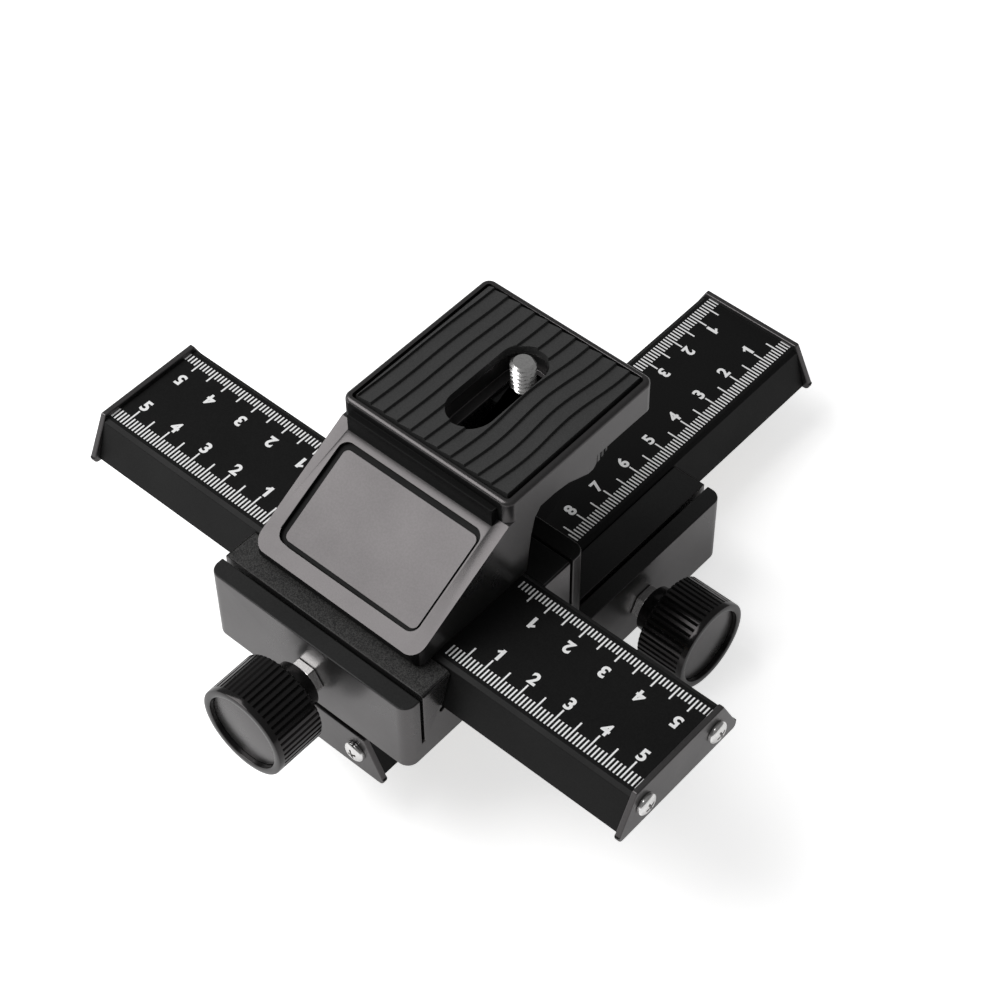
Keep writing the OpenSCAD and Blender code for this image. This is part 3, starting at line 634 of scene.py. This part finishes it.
@dataclass
class Carriage:
    """A carriage block with its raised ledges and the hexagonal bush of its drive shaft.

    The inner strip of the upper block's front ledge is grained, up to strip_edge from the rail's
    axis. The other strips take a darker smooth finish. The lower block's ledges are smooth; on the
    upper block the darker finish is painted shade from the turret.
    """

    stage: Stage
    strip_edge: float = 24.9
    edge: float = 0.3

    def build(self, palette: Palette) -> None:
        """Build the block and the bush."""
        name = self.stage.value
        block = merged_copy(f"{name}_carriage")
        top = (BLOCK_TOP if self.stage is Stage.LOWER else UPPER_Z + BLOCK_TOP) * MM
        # Ledge tops: the upper block's front strip is grained; the others take the darker smooth finish,
        # which on the upper block is painted shade.
        for face in block.faces:
            centre = face.calc_center_median()
            if face.normal.z > 0.9 and centre.z > top - 0.2 * MM:
                across = UPPER_Y * MM - centre.y
                grained = self.stage is Stage.UPPER and 0 < across < self.strip_edge * MM
                face.material_index = 2 if grained else 1
        body = self.stage.carriage_body
        looks = [Look.BLOCK, Look.LEDGE_SMOOTH, Look.LEDGE_GRAINED]
        Piece(f"{name}_block", body, "carriage_black", looks,
              [f"{name}_carriage"], Edges(self.edge)).make(block, palette, METRES)
        Piece(f"{name}_hex_bush", body, "bright_steel", [Look.BRIGHT],
              [f"{name}_drive_bush"], Edges(self.edge)).make_copy(palette)


@dataclass
class PanHeads:
    """The four domed cross-head screws that hold a rail's end plates."""

    stage: Stage
    across: float = 12.0
    seat: float = 81.0
    height: float = 17.95
    radius: float = 2.75
    edge_height: float = 0.75
    dome: float = 1.75
    shank: float = 1.25
    length: float = 9.4
    cross_half: float = 1.55
    cross_arm: float = 0.66
    cross_floor: float = 0.35

    def head(self) -> BMesh:
        """Build one screw that points down from z = 0.

        Returns:
            The screw with a plain dome.
        """
        rise = self.dome - self.edge_height
        dome = [Ring(self.radius * math.cos(a), self.edge_height + rise * math.sin(a))
                for a in (math.radians(10 * k) for k in range(9))]
        return turned([
            Ring(0.0, -self.length), Ring(self.shank - 0.3, -self.length),
            Ring(self.shank, 0.4 - self.length), Ring(self.shank, 0.0),
            Ring(self.radius - 0.12, 0.0), Ring(self.radius, 0.12), *dome, Ring(0.0, self.dome),
        ], 40)

    def wedge(self, turn: float) -> BMesh:
        """Build one arm of the cross, narrower towards its floor.

        Args:
            turn: the arm's turn around the screw, in degrees.

        Returns:
            The closed wedge.
        """
        mesh = bmesh.new()
        size = Matrix.Diagonal((2 * self.cross_half, self.cross_arm, 1.0, 1.0))
        start = self.dome + 0.3
        add_tile(mesh, Matrix.Translation((0, 0, start)) @ size)
        low = verts_of(bmesh.ops.extrude_face_region(mesh, geom=mesh.faces[:])["geom"])
        bmesh.ops.translate(mesh, vec=(0, 0, self.cross_floor - start), verts=low)
        bmesh.ops.scale(mesh, vec=(0.5, 0.75, 1.0), verts=low)
        bmesh.ops.recalc_face_normals(mesh, faces=mesh.faces)
        return placed(mesh, rotation(turn, "Z"))

    def build(self, palette: Palette) -> None:
        """Build one screw and repeat it at the four holes."""
        screw = self.head()
        for turn in (20.0, 110.0):
            screw = carved(screw, self.wedge(turn))
        pattern = stored(screw, "pan_head_pattern")
        heads = bmesh.new()
        for side in (-1, 1):
            for end in (-1, 1):
                before = len(heads.verts)
                heads.from_mesh(pattern)
                heads.verts.ensure_lookup_table()
                seat = Matrix.Translation((side * self.across, end * self.seat, self.height))
                place = self.stage.place @ (seat @ rotation(-90.0 * end, "X"))
                bmesh.ops.transform(heads, matrix=place, verts=heads.verts[before:])
        bpy.data.meshes.remove(pattern)
        name = self.stage.value
        Piece(f"{name}_pan_heads", self.stage.rail_body, "bright_steel", [Look.BRIGHT],
              [f"{name}_plate_screws"]).make(heads, palette)


@dataclass
class RailBar:
    """A dovetail rail with its two end plates and their pan-head screws."""

    stage: Stage
    plates: tuple[str, str]

    def build(self, palette: Palette) -> None:
        """Build the bar, the plates and the screws."""
        name, body = self.stage.value, self.stage.rail_body
        Piece(f"{name}_rail_bar", body, "rail_black", [Look.RAIL], [f"{name}_rail"],
              Edges(0.12, angle_deg=12.0)).make_copy(palette)
        for plate in self.plates:
            Piece(f"{plate}_cover", body, "plate_black", [Look.PLATE], [plate],
                  Edges(0.3)).make_copy(palette)
        PanHeads(self.stage).build(palette)


@dataclass(frozen=True)
class Numeral:
    """One printed number: its text, its centre and the way that its top points, in degrees from +Y."""

    text: str
    x: float
    y: float
    turn: float


@dataclass
class ScalePrint:
    """The white millimetre scale along both edges of a rail's top.

    The lower scale counts from lower_zero towards -Y. The upper one counts both ways, each from
    upper_zero away from the middle. Pair holds the places of the two figures of a ten.
    """

    stage: Stage
    lower_zero: float = 81.4
    upper_zero: float = 25.25
    edge: float = 13.1
    short: float = 3.0
    long: float = 5.4
    far_share: float = 0.72
    stroke: float = 0.42
    digit_row: float = 5.6
    digit_size: float = 4.4
    digit_weight: float = 0.16
    one: tuple[float, float] = (0.85, 3.3)
    one_stem_x: float = 0.3
    flag: tuple[float, float] = (1.35, 0.62)
    flag_deg: float = 36.0
    flag_drop: float = 0.85
    pair: tuple[float, float] = (-1.5, 1.35)
    lift: float = 0.03

    def marks(self) -> Iterable[tuple[float, float]]:
        """Every mark's place along the rail and its length.

        Returns:
            Pairs of place and length, in the solids' frame.
        """
        if self.stage is Stage.UPPER:
            for step in range(1, 55):
                length = self.long if step % 5 == 0 else self.short
                yield self.upper_zero + step, length
                yield -self.upper_zero - step, length
        else:
            for step in range(2, 104):
                yield self.lower_zero - step, self.long if step % 5 == 0 else self.short

    def numerals(self) -> Iterable[Numeral]:
        """Every printed number.

        Returns:
            The numerals of both edges.
        """
        if self.stage is Stage.UPPER:
            for number in range(1, 6):
                for side in (-1, 1):
                    x = side * (self.upper_zero + 10 * number)
                    yield Numeral(str(number), x, UPPER_Y - self.digit_row, 0.0)
                    yield Numeral(str(number), x, UPPER_Y + self.digit_row, 180.0)
        else:
            for number in range(1, 11):
                y = self.lower_zero - 10 * number
                yield Numeral(str(number), self.digit_row, y, 90.0)
                yield Numeral(str(number), -self.digit_row, y, -90.0)

    def add_mark(self, mesh: BMesh, place: float, length: float, side: int) -> None:
        """Add one mark.

        Args:
            mesh: the print's mesh.
            place: its place along the rail.
            length: its length.
            side: -1 or 1 for the rail's edge.
        """
        if side > 0 and self.stage is Stage.UPPER:
            length *= self.far_share
        across = side * (self.edge - length / 2)
        height = self.stage.rail_top + self.lift
        if self.stage is Stage.UPPER:
            centre, size = Vector((place, UPPER_Y + across, height)), (self.stroke, length)
        else:
            centre, size = Vector((across, place, height)), (length, self.stroke)
        add_tile(mesh, Matrix.Translation(centre) @ Matrix.Diagonal((*size, 1.0, 1.0)))

    def one_glyph(self) -> BMesh:
        """Build a figure one: an upright stem with a short flag and no foot.

        Returns:
            The flat figure around its own middle.
        """
        mesh = bmesh.new()
        width, height = self.one
        add_tile(mesh, Matrix.Translation((self.one_stem_x, 0, 0))
                 @ Matrix.Diagonal((width, height, 1.0, 1.0)))
        corner = Matrix.Translation((-self.one_stem_x, height / 2 - self.flag_drop, 0.004))
        add_tile(mesh, corner @ rotation(self.flag_deg, "Z") @ Matrix.Diagonal((*self.flag, 1.0, 1.0)))
        return mesh

    def font_glyph(self, text: str) -> BMesh:
        """Build a figure from Blender's own font.

        Args:
            text: the figure.

        Returns:
            The flat figure around its own middle.
        """
        curve = bpy.data.curves.new("numeral", "FONT")
        curve.body = text
        curve.size = self.digit_size
        curve.offset = self.digit_weight
        curve.resolution_u = 4
        carrier = linked("numeral", curve)
        bpy.context.view_layer.update()
        mesh = bmesh.new()
        mesh.from_mesh(carrier.evaluated_get(bpy.context.evaluated_depsgraph_get()).to_mesh())
        bpy.data.objects.remove(carrier)
        bpy.data.curves.remove(curve)
        low = Vector([min(v.co[i] for v in mesh.verts) for i in range(3)])
        high = Vector([max(v.co[i] for v in mesh.verts) for i in range(3)])
        return placed(mesh, Matrix.Translation(-(low + high) / 2))

    def add_numeral(self, mesh: BMesh, numeral: Numeral) -> None:
        """Add one number, figure by figure.

        Args:
            mesh: the print's mesh.
            numeral: what and where it is.
        """
        place = (Matrix.Translation((numeral.x, numeral.y, self.stage.rail_top + self.lift))
                 @ rotation(numeral.turn, "Z"))
        starts = (0.0,) if len(numeral.text) == 1 else self.pair
        for start, figure in zip(starts, numeral.text):
            own = self.one_glyph() if figure == "1" else self.font_glyph(figure)
            placed(own, place, Matrix.Translation((start, 0, 0)))
            scratch = stored(own, "numeral_scratch")
            mesh.from_mesh(scratch)
            bpy.data.meshes.remove(scratch)

    def build(self, palette: Palette) -> None:
        """Build the whole scale as one flat print."""
        mesh = bmesh.new()
        for place, length in self.marks():
            for side in (-1, 1):
                self.add_mark(mesh, place, length, side)
        for numeral in self.numerals():
            self.add_numeral(mesh, numeral)
        for face in mesh.faces:
            face.material_index = 0
            if face.normal.z < 0:
                face.normal_flip()
        Piece(f"{self.stage.value}_scale_print", self.stage.rail_body, "rail_black",
              [Look.PRINT]).make(mesh, palette)


# ---------------------------------------------------------------- knobs


@dataclass
class DriveKnob:
    """A ribbed drive knob with a smooth hub, a plain front rim and a sunk satin cap."""

    stage: Stage
    bore: float = 2.05
    start: float = 32.65
    radius: float = 11.75
    hub: float = 6.4
    back: float = 37.4
    face: float = 50.9
    cap_radius: float = 9.8
    cap_face: float = 49.7
    ribs: Ribs = Ribs(48, 0.5)

    def build(self, palette: Palette) -> None:
        """Build the knob and its cap."""
        name, body = self.stage.value, f"{self.stage.value}_drive"
        rim = self.face - 1.5
        knob = turned([
            Ring(self.bore, self.start), Ring(self.hub - 0.75, self.start),
            Ring(self.hub - 0.45, self.start + 0.25), Ring(self.hub - 0.05, self.back - 0.8),
            Ring(self.hub, self.back), Ring(self.radius - 0.95, self.back),
            Ring(self.radius - 0.35, self.back + 0.15, 0.7), Ring(self.radius, self.back + 0.6, 1.0),
            Ring(self.radius, rim - 0.45, 1.0), Ring(self.radius, rim - 0.1, 0.35), Ring(self.radius, rim),
            Ring(self.radius, self.face - 0.35), Ring(self.radius - 0.12, self.face - 0.1),
            Ring(self.radius - 0.35, self.face),
            Ring(self.cap_radius + 0.3, self.face), Ring(self.cap_radius + 0.08, self.face - 0.08),
            Ring(self.cap_radius, self.face - 0.3), Ring(self.cap_radius, self.cap_face - 0.9),
            Ring(self.bore, self.cap_face - 0.9),
        ], 0, self.ribs, closed=True)
        placed(knob, self.stage.place, SHAFT_AXIS)
        Piece(f"{name}_ribbed_knob", body, "knob_black", [Look.KNOB], [f"{name}_knob"]).make(knob, palette)
        side, floor = self.cap_radius - 0.06, self.cap_face - 1.0
        cap = turned([
            Ring(0.0, self.cap_face), Ring(self.cap_radius - 0.45, self.cap_face),
            Ring(self.cap_radius - 0.2, self.cap_face - 0.06), Ring(side, self.cap_face - 0.25),
            Ring(side, floor), Ring(0.0, floor),
        ], 96)
        placed(cap, self.stage.place, SHAFT_AXIS)
        Piece(f"{name}_satin_cap", body, "cap_satin", [Look.CAP], [f"{name}_knob_cap"]).make(cap, palette)


@dataclass
class LockKnob:
    """A small ribbed lock knob on the side away from the drive knob."""

    stage: Stage
    bore: float = 2.52
    radius: float = 6.0
    start: float = 30.4
    length: float = 10.0
    ribs: Ribs = Ribs(24, 0.45)

    def build(self, palette: Palette) -> None:
        """Build the knob."""
        end = self.start + self.length
        knob = turned([
            Ring(self.bore, self.start), Ring(self.radius - 0.8, self.start),
            Ring(self.radius - 0.5, self.start + 0.3), Ring(self.radius - 0.5, self.start + 1.1),
            Ring(self.radius - 0.15, self.start + 1.3, 0.5), Ring(self.radius, self.start + 1.7, 1.0),
            Ring(self.radius, end - 0.7, 1.0), Ring(self.radius - 0.25, end - 0.25, 0.6),
            Ring(self.radius - 0.75, end), Ring(self.radius - 1.7, end),
            Ring(self.radius - 2.0, end - 0.3), Ring(0.0, end - 0.3),
        ], 0, self.ribs)
        placed(knob, self.stage.place, LOCK_AXIS)
        name = self.stage.value
        Piece(f"{name}_lock_grip", f"{name}_lock", "knob_black", [Look.KNOB],
              [f"{name}_lock_knob"]).make(knob, palette)


# ---------------------------------------------------------------- turret and camera screw


@dataclass
class Turret:
    """The cast turret with its slanted front, the blank plate in it and the spacer under the stage.

    The outer edges of the slanted front and of the platform's rim are round, the others only
    broken. Lengths are in the turret's frame. Foot is the slanted front's lower end, Y and Z.
    Recess is the blank plate's pocket: how far up the slope it starts and ends, and its half
    width. Tray is the pad's pocket: its half width, front and rear. Brow is the gap over the
    slanted front: its rear and its lowest height. The edges in the joint between the front and the
    platform stay sharp: joint is its lowest and highest height and its rear.
    """

    foot: tuple[float, float] = (-20.9, 3.72)
    foot_edge: float = 3.5
    slope_deg: float = 29.54
    recess: tuple[float, float, float] = (4.0, 31.5, 21.0)
    recess_depth: float = 1.1
    rim_top: float = 27.4
    tray: tuple[float, float, float] = (23.15, 11.2, 57.5)
    tray_depth: float = 1.8
    brow: tuple[float, float] = (9.75, 19.0)
    joint: tuple[float, float, float] = (19.5, 22.5, 13.5)
    round_edge: float = 1.0
    round_from_deg: float = 40.0
    broken_edge: float = 0.25
    broken_from_deg: float = 35.0

    def on_rim(self, point: Vector) -> bool:
        """Whether a point, in the turret's frame, lies on the platform's outer top outline."""
        half, front, rear = self.tray
        outside = max(abs(point.x) - half, front - point.y, point.y - rear)
        return point.z > self.rim_top - 0.05 and outside > 0.05

    def on_slope(self, point: Vector) -> tuple[float, float]:
        """A point's place up the slanted front and its height over it, in the turret's frame."""
        run, rise = point.y - self.foot[0], point.z - self.foot[1]
        slope = math.radians(self.slope_deg)
        sine, cosine = math.sin(slope), math.cos(slope)
        return run * cosine + rise * sine, rise * cosine - run * sine

    def on_front(self, point: Vector) -> bool:
        """Whether a point, in the turret's frame, lies on the slanted front's lower outline."""
        along, off = self.on_slope(point)
        return abs(off) < 0.06 and along < self.foot_edge

    def is_shaded(self, point: Vector, normal: Vector) -> bool:
        """Whether a face lies in a gap, under the slanted front or over it.

        Args:
            point: the face's middle in the turret's frame.
            normal: the way that it faces.

        Returns:
            True where the casting takes the painted shade, a near-black finish in place of shadow.
        """
        along, off = self.on_slope(point)
        low, high, side = self.recess
        in_recess = -self.recess_depth < off < -0.1 and low < along < high and abs(point.x) < side
        half, front, rear = self.tray
        in_tray = (self.rim_top - self.tray_depth < point.z < self.rim_top - 0.1
                   and abs(point.x) < half + 0.1 and front - 0.1 < point.y < rear + 0.1)
        over_front = point.y < self.brow[0] and point.z > self.brow[1] and off > 0.05
        under_front = normal.y < -0.5 and point.z < self.foot[1]
        return in_recess or in_tray or over_front or under_front

    @staticmethod
    def is_sharp(edge: bmesh.types.BMEdge, least_deg: float) -> bool:
        """Whether an edge joins two faces at more than the least angle."""
        return len(edge.link_faces) == 2 and edge.calc_face_angle() > math.radians(least_deg)

    def casting(self) -> BMesh:
        """Copy the casting and round its outer edges.

        Returns:
            The copy, in metres.
        """
        mesh = merged_copy("turret")
        back = TURRET_PLACE.inverted()
        for chosen in (self.on_rim, self.on_front):
            edges = [edge for edge in mesh.edges if self.is_sharp(edge, self.round_from_deg)
                     and all(chosen(back @ (vert.co / MM)) for vert in edge.verts)]
            bmesh.ops.bevel(mesh, geom=edges, offset=self.round_edge * MM, segments=4, profile=0.5,
                            affect="EDGES", clamp_overlap=True)
            log.info("turret_casting: %d edges rounded", len(edges))
        weight = mesh.edges.layers.float.new("bevel_weight_edge")
        low, high, rear = self.joint
        for edge in mesh.edges:
            ends = [back @ (vert.co / MM) for vert in edge.verts]
            joined = any(low < end.z < high and end.y < rear for end in ends)
            long = edge.calc_length() > 2 * self.broken_edge * MM
            edge[weight] = float(self.is_sharp(edge, self.broken_from_deg) and not joined and long)
        # Faces in the gaps, the recess and the tray, and over and under the slanted front take the painted
        # shade.
        for face in mesh.faces:
            face.material_index = int(self.is_shaded(back @ (face.calc_center_median() / MM), face.normal))
        return mesh

    def build(self, palette: Palette) -> None:
        """Build the casting, the blank plate and the spacer."""
        # The casting's second finish is the painted shade.
        Piece("turret_casting", "top", "carriage_black", [Look.CASTING, Look.SHADED], ["turret"],
              Edges(self.broken_edge, weighted=True)).make(self.casting(), palette, METRES)
        Piece("blank_badge", "top", "badge_black", [Look.BADGE], ["badge_plate"],
              Edges(0.12)).make_copy(palette)
        Piece("stage_block", "middle", "carriage_black", [Look.BLOCK], ["stage_spacer"],
              Edges(0.3)).make_copy(palette)


@dataclass
class RubberPad:
    """The rubber pad: lapped stripes with gently waved borders and a slot for the screw.

    Borders are the stripes' borders halfway along the pad. They lean towards +X at the rear. The
    wave grows towards +X from its least share at wave_start and has a crest at wave_crest. It
    fades out over edge_fade at the pad's sides. Columns are the points across one stripe, up to
    the share ramp on its slanted side.
    """

    half_width: float = 22.3
    front: float = 12.05
    rear: float = 56.65
    base: float = 25.7
    top: float = 28.1
    borders: tuple[float, ...] = (-21.1, -17.0, -13.1, -9.0, -5.0, -1.0, 2.9, 6.8, 10.7, 14.7, 18.6)
    lap: float = 0.7
    lean: float = 0.025
    wave: float = 0.5
    wave_length: float = 32.0
    wave_crest: float = 54.0
    wave_start: float = -12.0
    wave_growth: float = 20.0
    wave_least: float = 0.3
    edge_fade: float = 1.5
    middle: float = 34.5
    rows: int = 72
    ramp: float = 0.88
    columns: tuple[float, ...] = (0.0, 0.1, 0.35, 0.65, 0.88, 0.94)
    slot_half: float = 6.05
    slot_front: float = 25.75
    slot_rear: float = 42.65

    def border_shift(self, x: float, y: float) -> float:
        """How far a stripe's border lies from its straight line.

        Args:
            x: the border's place halfway along the pad.
            y: where along the pad.

        Returns:
            The shift along X.
        """
        grown = (x - self.wave_start) / self.wave_growth
        strength = self.wave * min(1.0, max(self.wave_least, grown))
        inside = min(1.0, (self.half_width - abs(x)) / self.edge_fade)
        swing = math.cos(math.tau * (y - self.wave_crest) / self.wave_length)
        return inside * (self.lean * (y - self.middle) + strength * swing)

    def surface(self) -> BMesh:
        """Build the lapped top from a grid and close it down to the tray.

        Returns:
            The closed pad without its slot, in the turret's frame.
        """
        mesh = bmesh.new()
        bounds = [-self.half_width, *self.borders, self.half_width]
        count = (len(bounds) - 1) * len(self.columns)
        bmesh.ops.create_grid(mesh, x_segments=count - 1, y_segments=self.rows, size=0.5)
        for vert in mesh.verts:
            column = round((vert.co.x + 0.5) * (count - 1))
            stripe, spot = divmod(column, len(self.columns))
            share = self.columns[spot]
            y = self.front + (vert.co.y + 0.5) * (self.rear - self.front)
            x = bounds[stripe] + share * (bounds[stripe + 1] - bounds[stripe])
            x += self.border_shift(x, y)
            if column in (0, count - 1):
                x = math.copysign(self.half_width, x)
            rise = min(1.0, share / self.ramp)
            vert.co = Vector((x, y, self.top - self.lap * (1 - rise)))
        rim = [e for e in mesh.edges if e.is_boundary]
        for vert in verts_of(bmesh.ops.extrude_edge_only(mesh, edges=rim)["geom"]):
            vert.co.z = self.base
        bmesh.ops.holes_fill(mesh, edges=[e for e in mesh.edges if e.is_boundary])
        bmesh.ops.recalc_face_normals(mesh, faces=mesh.faces)
        return mesh

    def cutter(self) -> BMesh:
        """Build the slot's prism.

        Returns:
            The prism, in the turret's frame.
        """
        mesh = bmesh.new()
        bmesh.ops.create_circle(mesh, cap_ends=True, segments=64, radius=self.slot_half)
        for vert in mesh.verts:
            vert.co.y += self.slot_rear if vert.co.y > 0 else self.slot_front
            vert.co.z = self.base - 2
        grown = verts_of(bmesh.ops.extrude_face_region(mesh, geom=mesh.faces[:])["geom"])
        bmesh.ops.translate(mesh, vec=(0, 0, 8), verts=grown)
        bmesh.ops.recalc_face_normals(mesh, faces=mesh.faces)
        return mesh

    def build(self, palette: Palette) -> None:
        """Build the pad with its slot cut."""
        pad = carved(self.surface(), self.cutter())
        Piece("waved_rubber_pad", "top", "rubber", [Look.RUBBER], ["rubber_pad"]).make(
            placed(pad, TURRET_PLACE), palette)


@dataclass
class CameraScrew:
    """The captive camera screw: a threaded stud over a plain neck."""

    y: float = 42.9
    neck: float = 2.4
    neck_bottom: float = 8.5
    bottom: float = 19.75
    guide_top: float = 21.1
    top: float = 28.8
    crest: float = 3.1
    root: float = 2.35
    pitch: float = 1.27
    chamfer: float = 0.8
    segments: int = 72
    rows_per_turn: int = 12

    def build(self, palette: Palette) -> None:
        """Build the screw."""
        rows = round((self.top - self.bottom) / self.pitch * self.rows_per_turn)
        rings = [Ring(0.0, self.neck_bottom), Ring(self.neck, self.neck_bottom),
                 Ring(self.neck, self.bottom)]
        rings += [Ring(self.crest, self.bottom + (self.top - self.bottom) * k / rows, 1.0)
                  for k in range(rows + 1)]
        rings += [Ring(0.0, self.top)]
        mesh = turned(rings, self.segments)
        for vert in mesh.verts:
            radius = math.hypot(vert.co.x, vert.co.y)
            if radius > self.crest - 0.01:
                turn = math.atan2(vert.co.y, vert.co.x) / math.tau
                phase = (vert.co.z / self.pitch - turn) % 1.0
                ridge = 1.0 - abs(2.0 * phase - 1.0)
                wanted = self.root + (self.crest - self.root) * ridge
                over = vert.co.z - (self.top - self.chamfer)
                if over > 0:
                    wanted = min(wanted, self.crest - over)
                if vert.co.z < self.guide_top:
                    wanted = min(wanted, self.crest - 0.2)
                vert.co.x *= wanted / radius
                vert.co.y *= wanted / radius
        placed(mesh, TURRET_PLACE, Matrix.Translation((0.0, self.y, 0.0)))
        Piece("threaded_stud", "screw", "bright_steel", [Look.BRIGHT], ["camera_screw"],
              smooth_deg=30.0).make(mesh, palette)


@dataclass
class ThumbWheel:
    """The wide ribbed wheel under the platform that turns the camera screw."""

    y: float = 42.9
    bore: float = 2.42
    hollow: float = 18.25
    hub: float = 7.0
    radius: float = 20.75
    bottom: float = 8.0
    top: float = 13.5
    ribs: Ribs = Ribs(72, 0.5)

    def build(self, palette: Palette) -> None:
        """Build the wheel."""
        wheel = turned([
            Ring(self.bore, self.top), Ring(self.radius - 1.1, self.top),
            Ring(self.radius - 0.5, self.top - 0.15, 0.6),
            Ring(self.radius, self.top - 0.6, 1.0), Ring(self.radius, self.bottom + 0.6, 1.0),
            Ring(self.radius - 0.5, self.bottom + 0.15, 0.6), Ring(self.radius - 1.1, self.bottom),
            Ring(self.hollow + 0.15, self.bottom), Ring(self.hollow, self.bottom + 0.15),
            Ring(self.hollow, self.bottom + 2.0), Ring(self.hub, self.bottom + 2.0),
            Ring(self.hub, self.bottom + 0.2), Ring(self.hub - 0.2, self.bottom),
            Ring(0.0, self.bottom),
        ], 0, self.ribs)
        placed(wheel, TURRET_PLACE, Matrix.Translation((0.0, self.y, 0.0)))
        Piece("ribbed_thumb_wheel", "screw", "knob_black", [Look.KNOB],
              ["thumb_wheel"]).make(wheel, palette)


# ---------------------------------------------------------------- pieces that stay as solids


@dataclass
class HiddenHardware:
    """The solids that keep their own meshes and only get a finish."""

    of_each_stage: dict[str, Look] = field(default_factory=lambda: {
        "drive_shaft": Look.STEEL, "pinion": Look.BRASS, "rack": Look.BRASS,
        "rack_screws": Look.STEEL, "knob_grub": Look.DARK_STEEL, "lock_screw": Look.STEEL,
    })
    single: dict[str, Look] = field(default_factory=lambda: {
        "tripod_insert": Look.STEEL, "tripod_adapter": Look.BRASS,
        "stage_bolts": Look.DARK_STEEL, "turret_bolts": Look.DARK_STEEL,
        "screw_slider": Look.DARK_STEEL, "wheel_washer": Look.NYLON,
    })

    def build(self, palette: Palette) -> None:
        """Give each solid its finish."""
        looks = dict(self.single)
        for stage in Stage:
            looks.update({f"{stage.value}_{node}": look for node, look in self.of_each_stage.items()})
        for node, look in looks.items():
            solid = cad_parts[node]
            for slot in solid.material_slots:
                slot.material = palette[look]
            log.info("%s: finish %s", node, look.value)


# ---------------------------------------------------------------- studio


@dataclass
class Studio:
    """The camera, the light and the pale floor.

    Distance, pan and floor_z are in millimetres, lens and sensor too. Clip, floor_half, aim,
    key_size and key_distance are in metres. Floor_glow is the floor's own light to the camera and
    in reflections.
    """

    azimuth: float = 41.71
    elevation: float = 50.08
    roll: float = -0.63
    distance: float = 560.8
    pan: tuple[float, float] = (-22.9, -12.5)
    lens: float = 90.33
    sensor: float = 36.0
    clip: tuple[float, float] = (0.01, 20.0)
    floor_z: float = -2.9
    floor_half: float = 3.0
    floor_glow: tuple[float, float] = (0.65, 0.3)
    aim: tuple[float, float, float] = (0.0, -0.02, 0.03)
    key_from: tuple[float, float, float] = (-0.48, -0.38, 0.79)
    key_radiance: float = 4.6
    key_size: float = 0.85
    key_distance: float = 1.05
    room: float = 0.2

    def build(self) -> None:
        """Build the whole studio."""
        bpy.context.scene.view_settings.view_transform = "Standard"
        self.camera()
        self.floor()
        self.key()
        self.world()

    def camera(self) -> None:
        """Place the camera as the photograph's perspective asks."""
        a, e, r = (math.radians(v) for v in (self.azimuth, self.elevation, self.roll))
        back = Vector((math.sin(a) * math.cos(e), -math.cos(a) * math.cos(e), math.sin(e)))
        right = Vector((math.cos(a), math.sin(a), 0.0))
        up = back.cross(right)
        right, up = math.cos(r) * right + math.sin(r) * up, math.cos(r) * up - math.sin(r) * right
        centre = back * self.distance - right * self.pan[0] - up * self.pan[1]
        centre += Vector((0.0, UPPER_Y, UPPER_RAIL_TOP))
        data = bpy.data.cameras.new("view")
        data.lens = self.lens
        data.sensor_width = self.sensor
        data.clip_start, data.clip_end = self.clip
        camera = linked("view", data)
        facing = Matrix((right, up, back)).transposed().to_4x4()
        camera.matrix_world = Matrix.Translation(centre * MM) @ facing
        bpy.context.scene.camera = camera

    def floor(self) -> None:
        """Lay a pale floor that looks white to the camera and keeps the soft shadow."""
        mesh = bmesh.new()
        add_tile(mesh, Matrix.Translation((0, 0, self.floor_z * MM)), self.floor_half)
        data = stored(mesh, "floor")
        floor = linked("floor", data)
        material = bpy.data.materials.new("floor_white")
        material.use_nodes = True
        sheet = NodeSheet(material.node_tree)
        shader = material.node_tree.nodes["Principled BSDF"]
        sheet.fill(shader, {
            "Base Color": (*grey(0.92), 1.0), "Roughness": 0.9,
            "Specular IOR Level": 0.1, "Emission Color": (*grey(1.0), 1.0),
        })
        rays = sheet.add("ShaderNodeLightPath")
        seen = sheet.maths("MULTIPLY", rays.outputs["Is Camera Ray"], self.floor_glow[0])
        mirrored = sheet.maths("MULTIPLY", rays.outputs["Is Glossy Ray"], self.floor_glow[1])
        sheet.link(sheet.maths("ADD", seen, mirrored), shader.inputs["Emission Strength"])
        data.materials.append(material)

    def key(self) -> None:
        """Hang the large soft key light above the front left."""
        data = bpy.data.lights.new("key", "AREA")
        data.shape = "SQUARE"
        data.size = self.key_size
        data.energy = self.key_radiance * math.pi * self.key_size ** 2
        light = linked("key", data)
        direction = Vector(self.key_from).normalized()
        centre = Vector(self.aim) + direction * self.key_distance
        facing = direction.to_track_quat("Z", "Y").to_matrix().to_4x4()
        light.matrix_world = Matrix.Translation(centre) @ facing

    def world(self) -> None:
        """Fill the room with dim even light."""
        world = bpy.data.worlds.new("room")
        world.use_nodes = True
        NodeSheet.fill(world.node_tree.nodes["Background"], {
            "Color": (*grey(1.0), 1.0), "Strength": self.room,
        })
        bpy.context.scene.world = world


# ---------------------------------------------------------------- main


def main() -> None:
    """Dress every sub-assembly, then set the studio."""
    logging.basicConfig(level=logging.INFO, format="%(name)s: %(message)s")
    palette = Palette.build()
    for stage in Stage:
        Carriage(stage).build(palette)
        ScalePrint(stage).build(palette)
        DriveKnob(stage).build(palette)
        LockKnob(stage).build(palette)
    RailBar(Stage.LOWER, ("lower_far_plate", "lower_near_plate")).build(palette)
    RailBar(Stage.UPPER, ("upper_left_plate", "upper_right_plate")).build(palette)
    Turret().build(palette)
    RubberPad().build(palette)
    CameraScrew().build(palette)
    ThumbWheel().build(palette)
    HiddenHardware().build(palette)
    Studio().build()


if __name__ == "__main__":
    main()
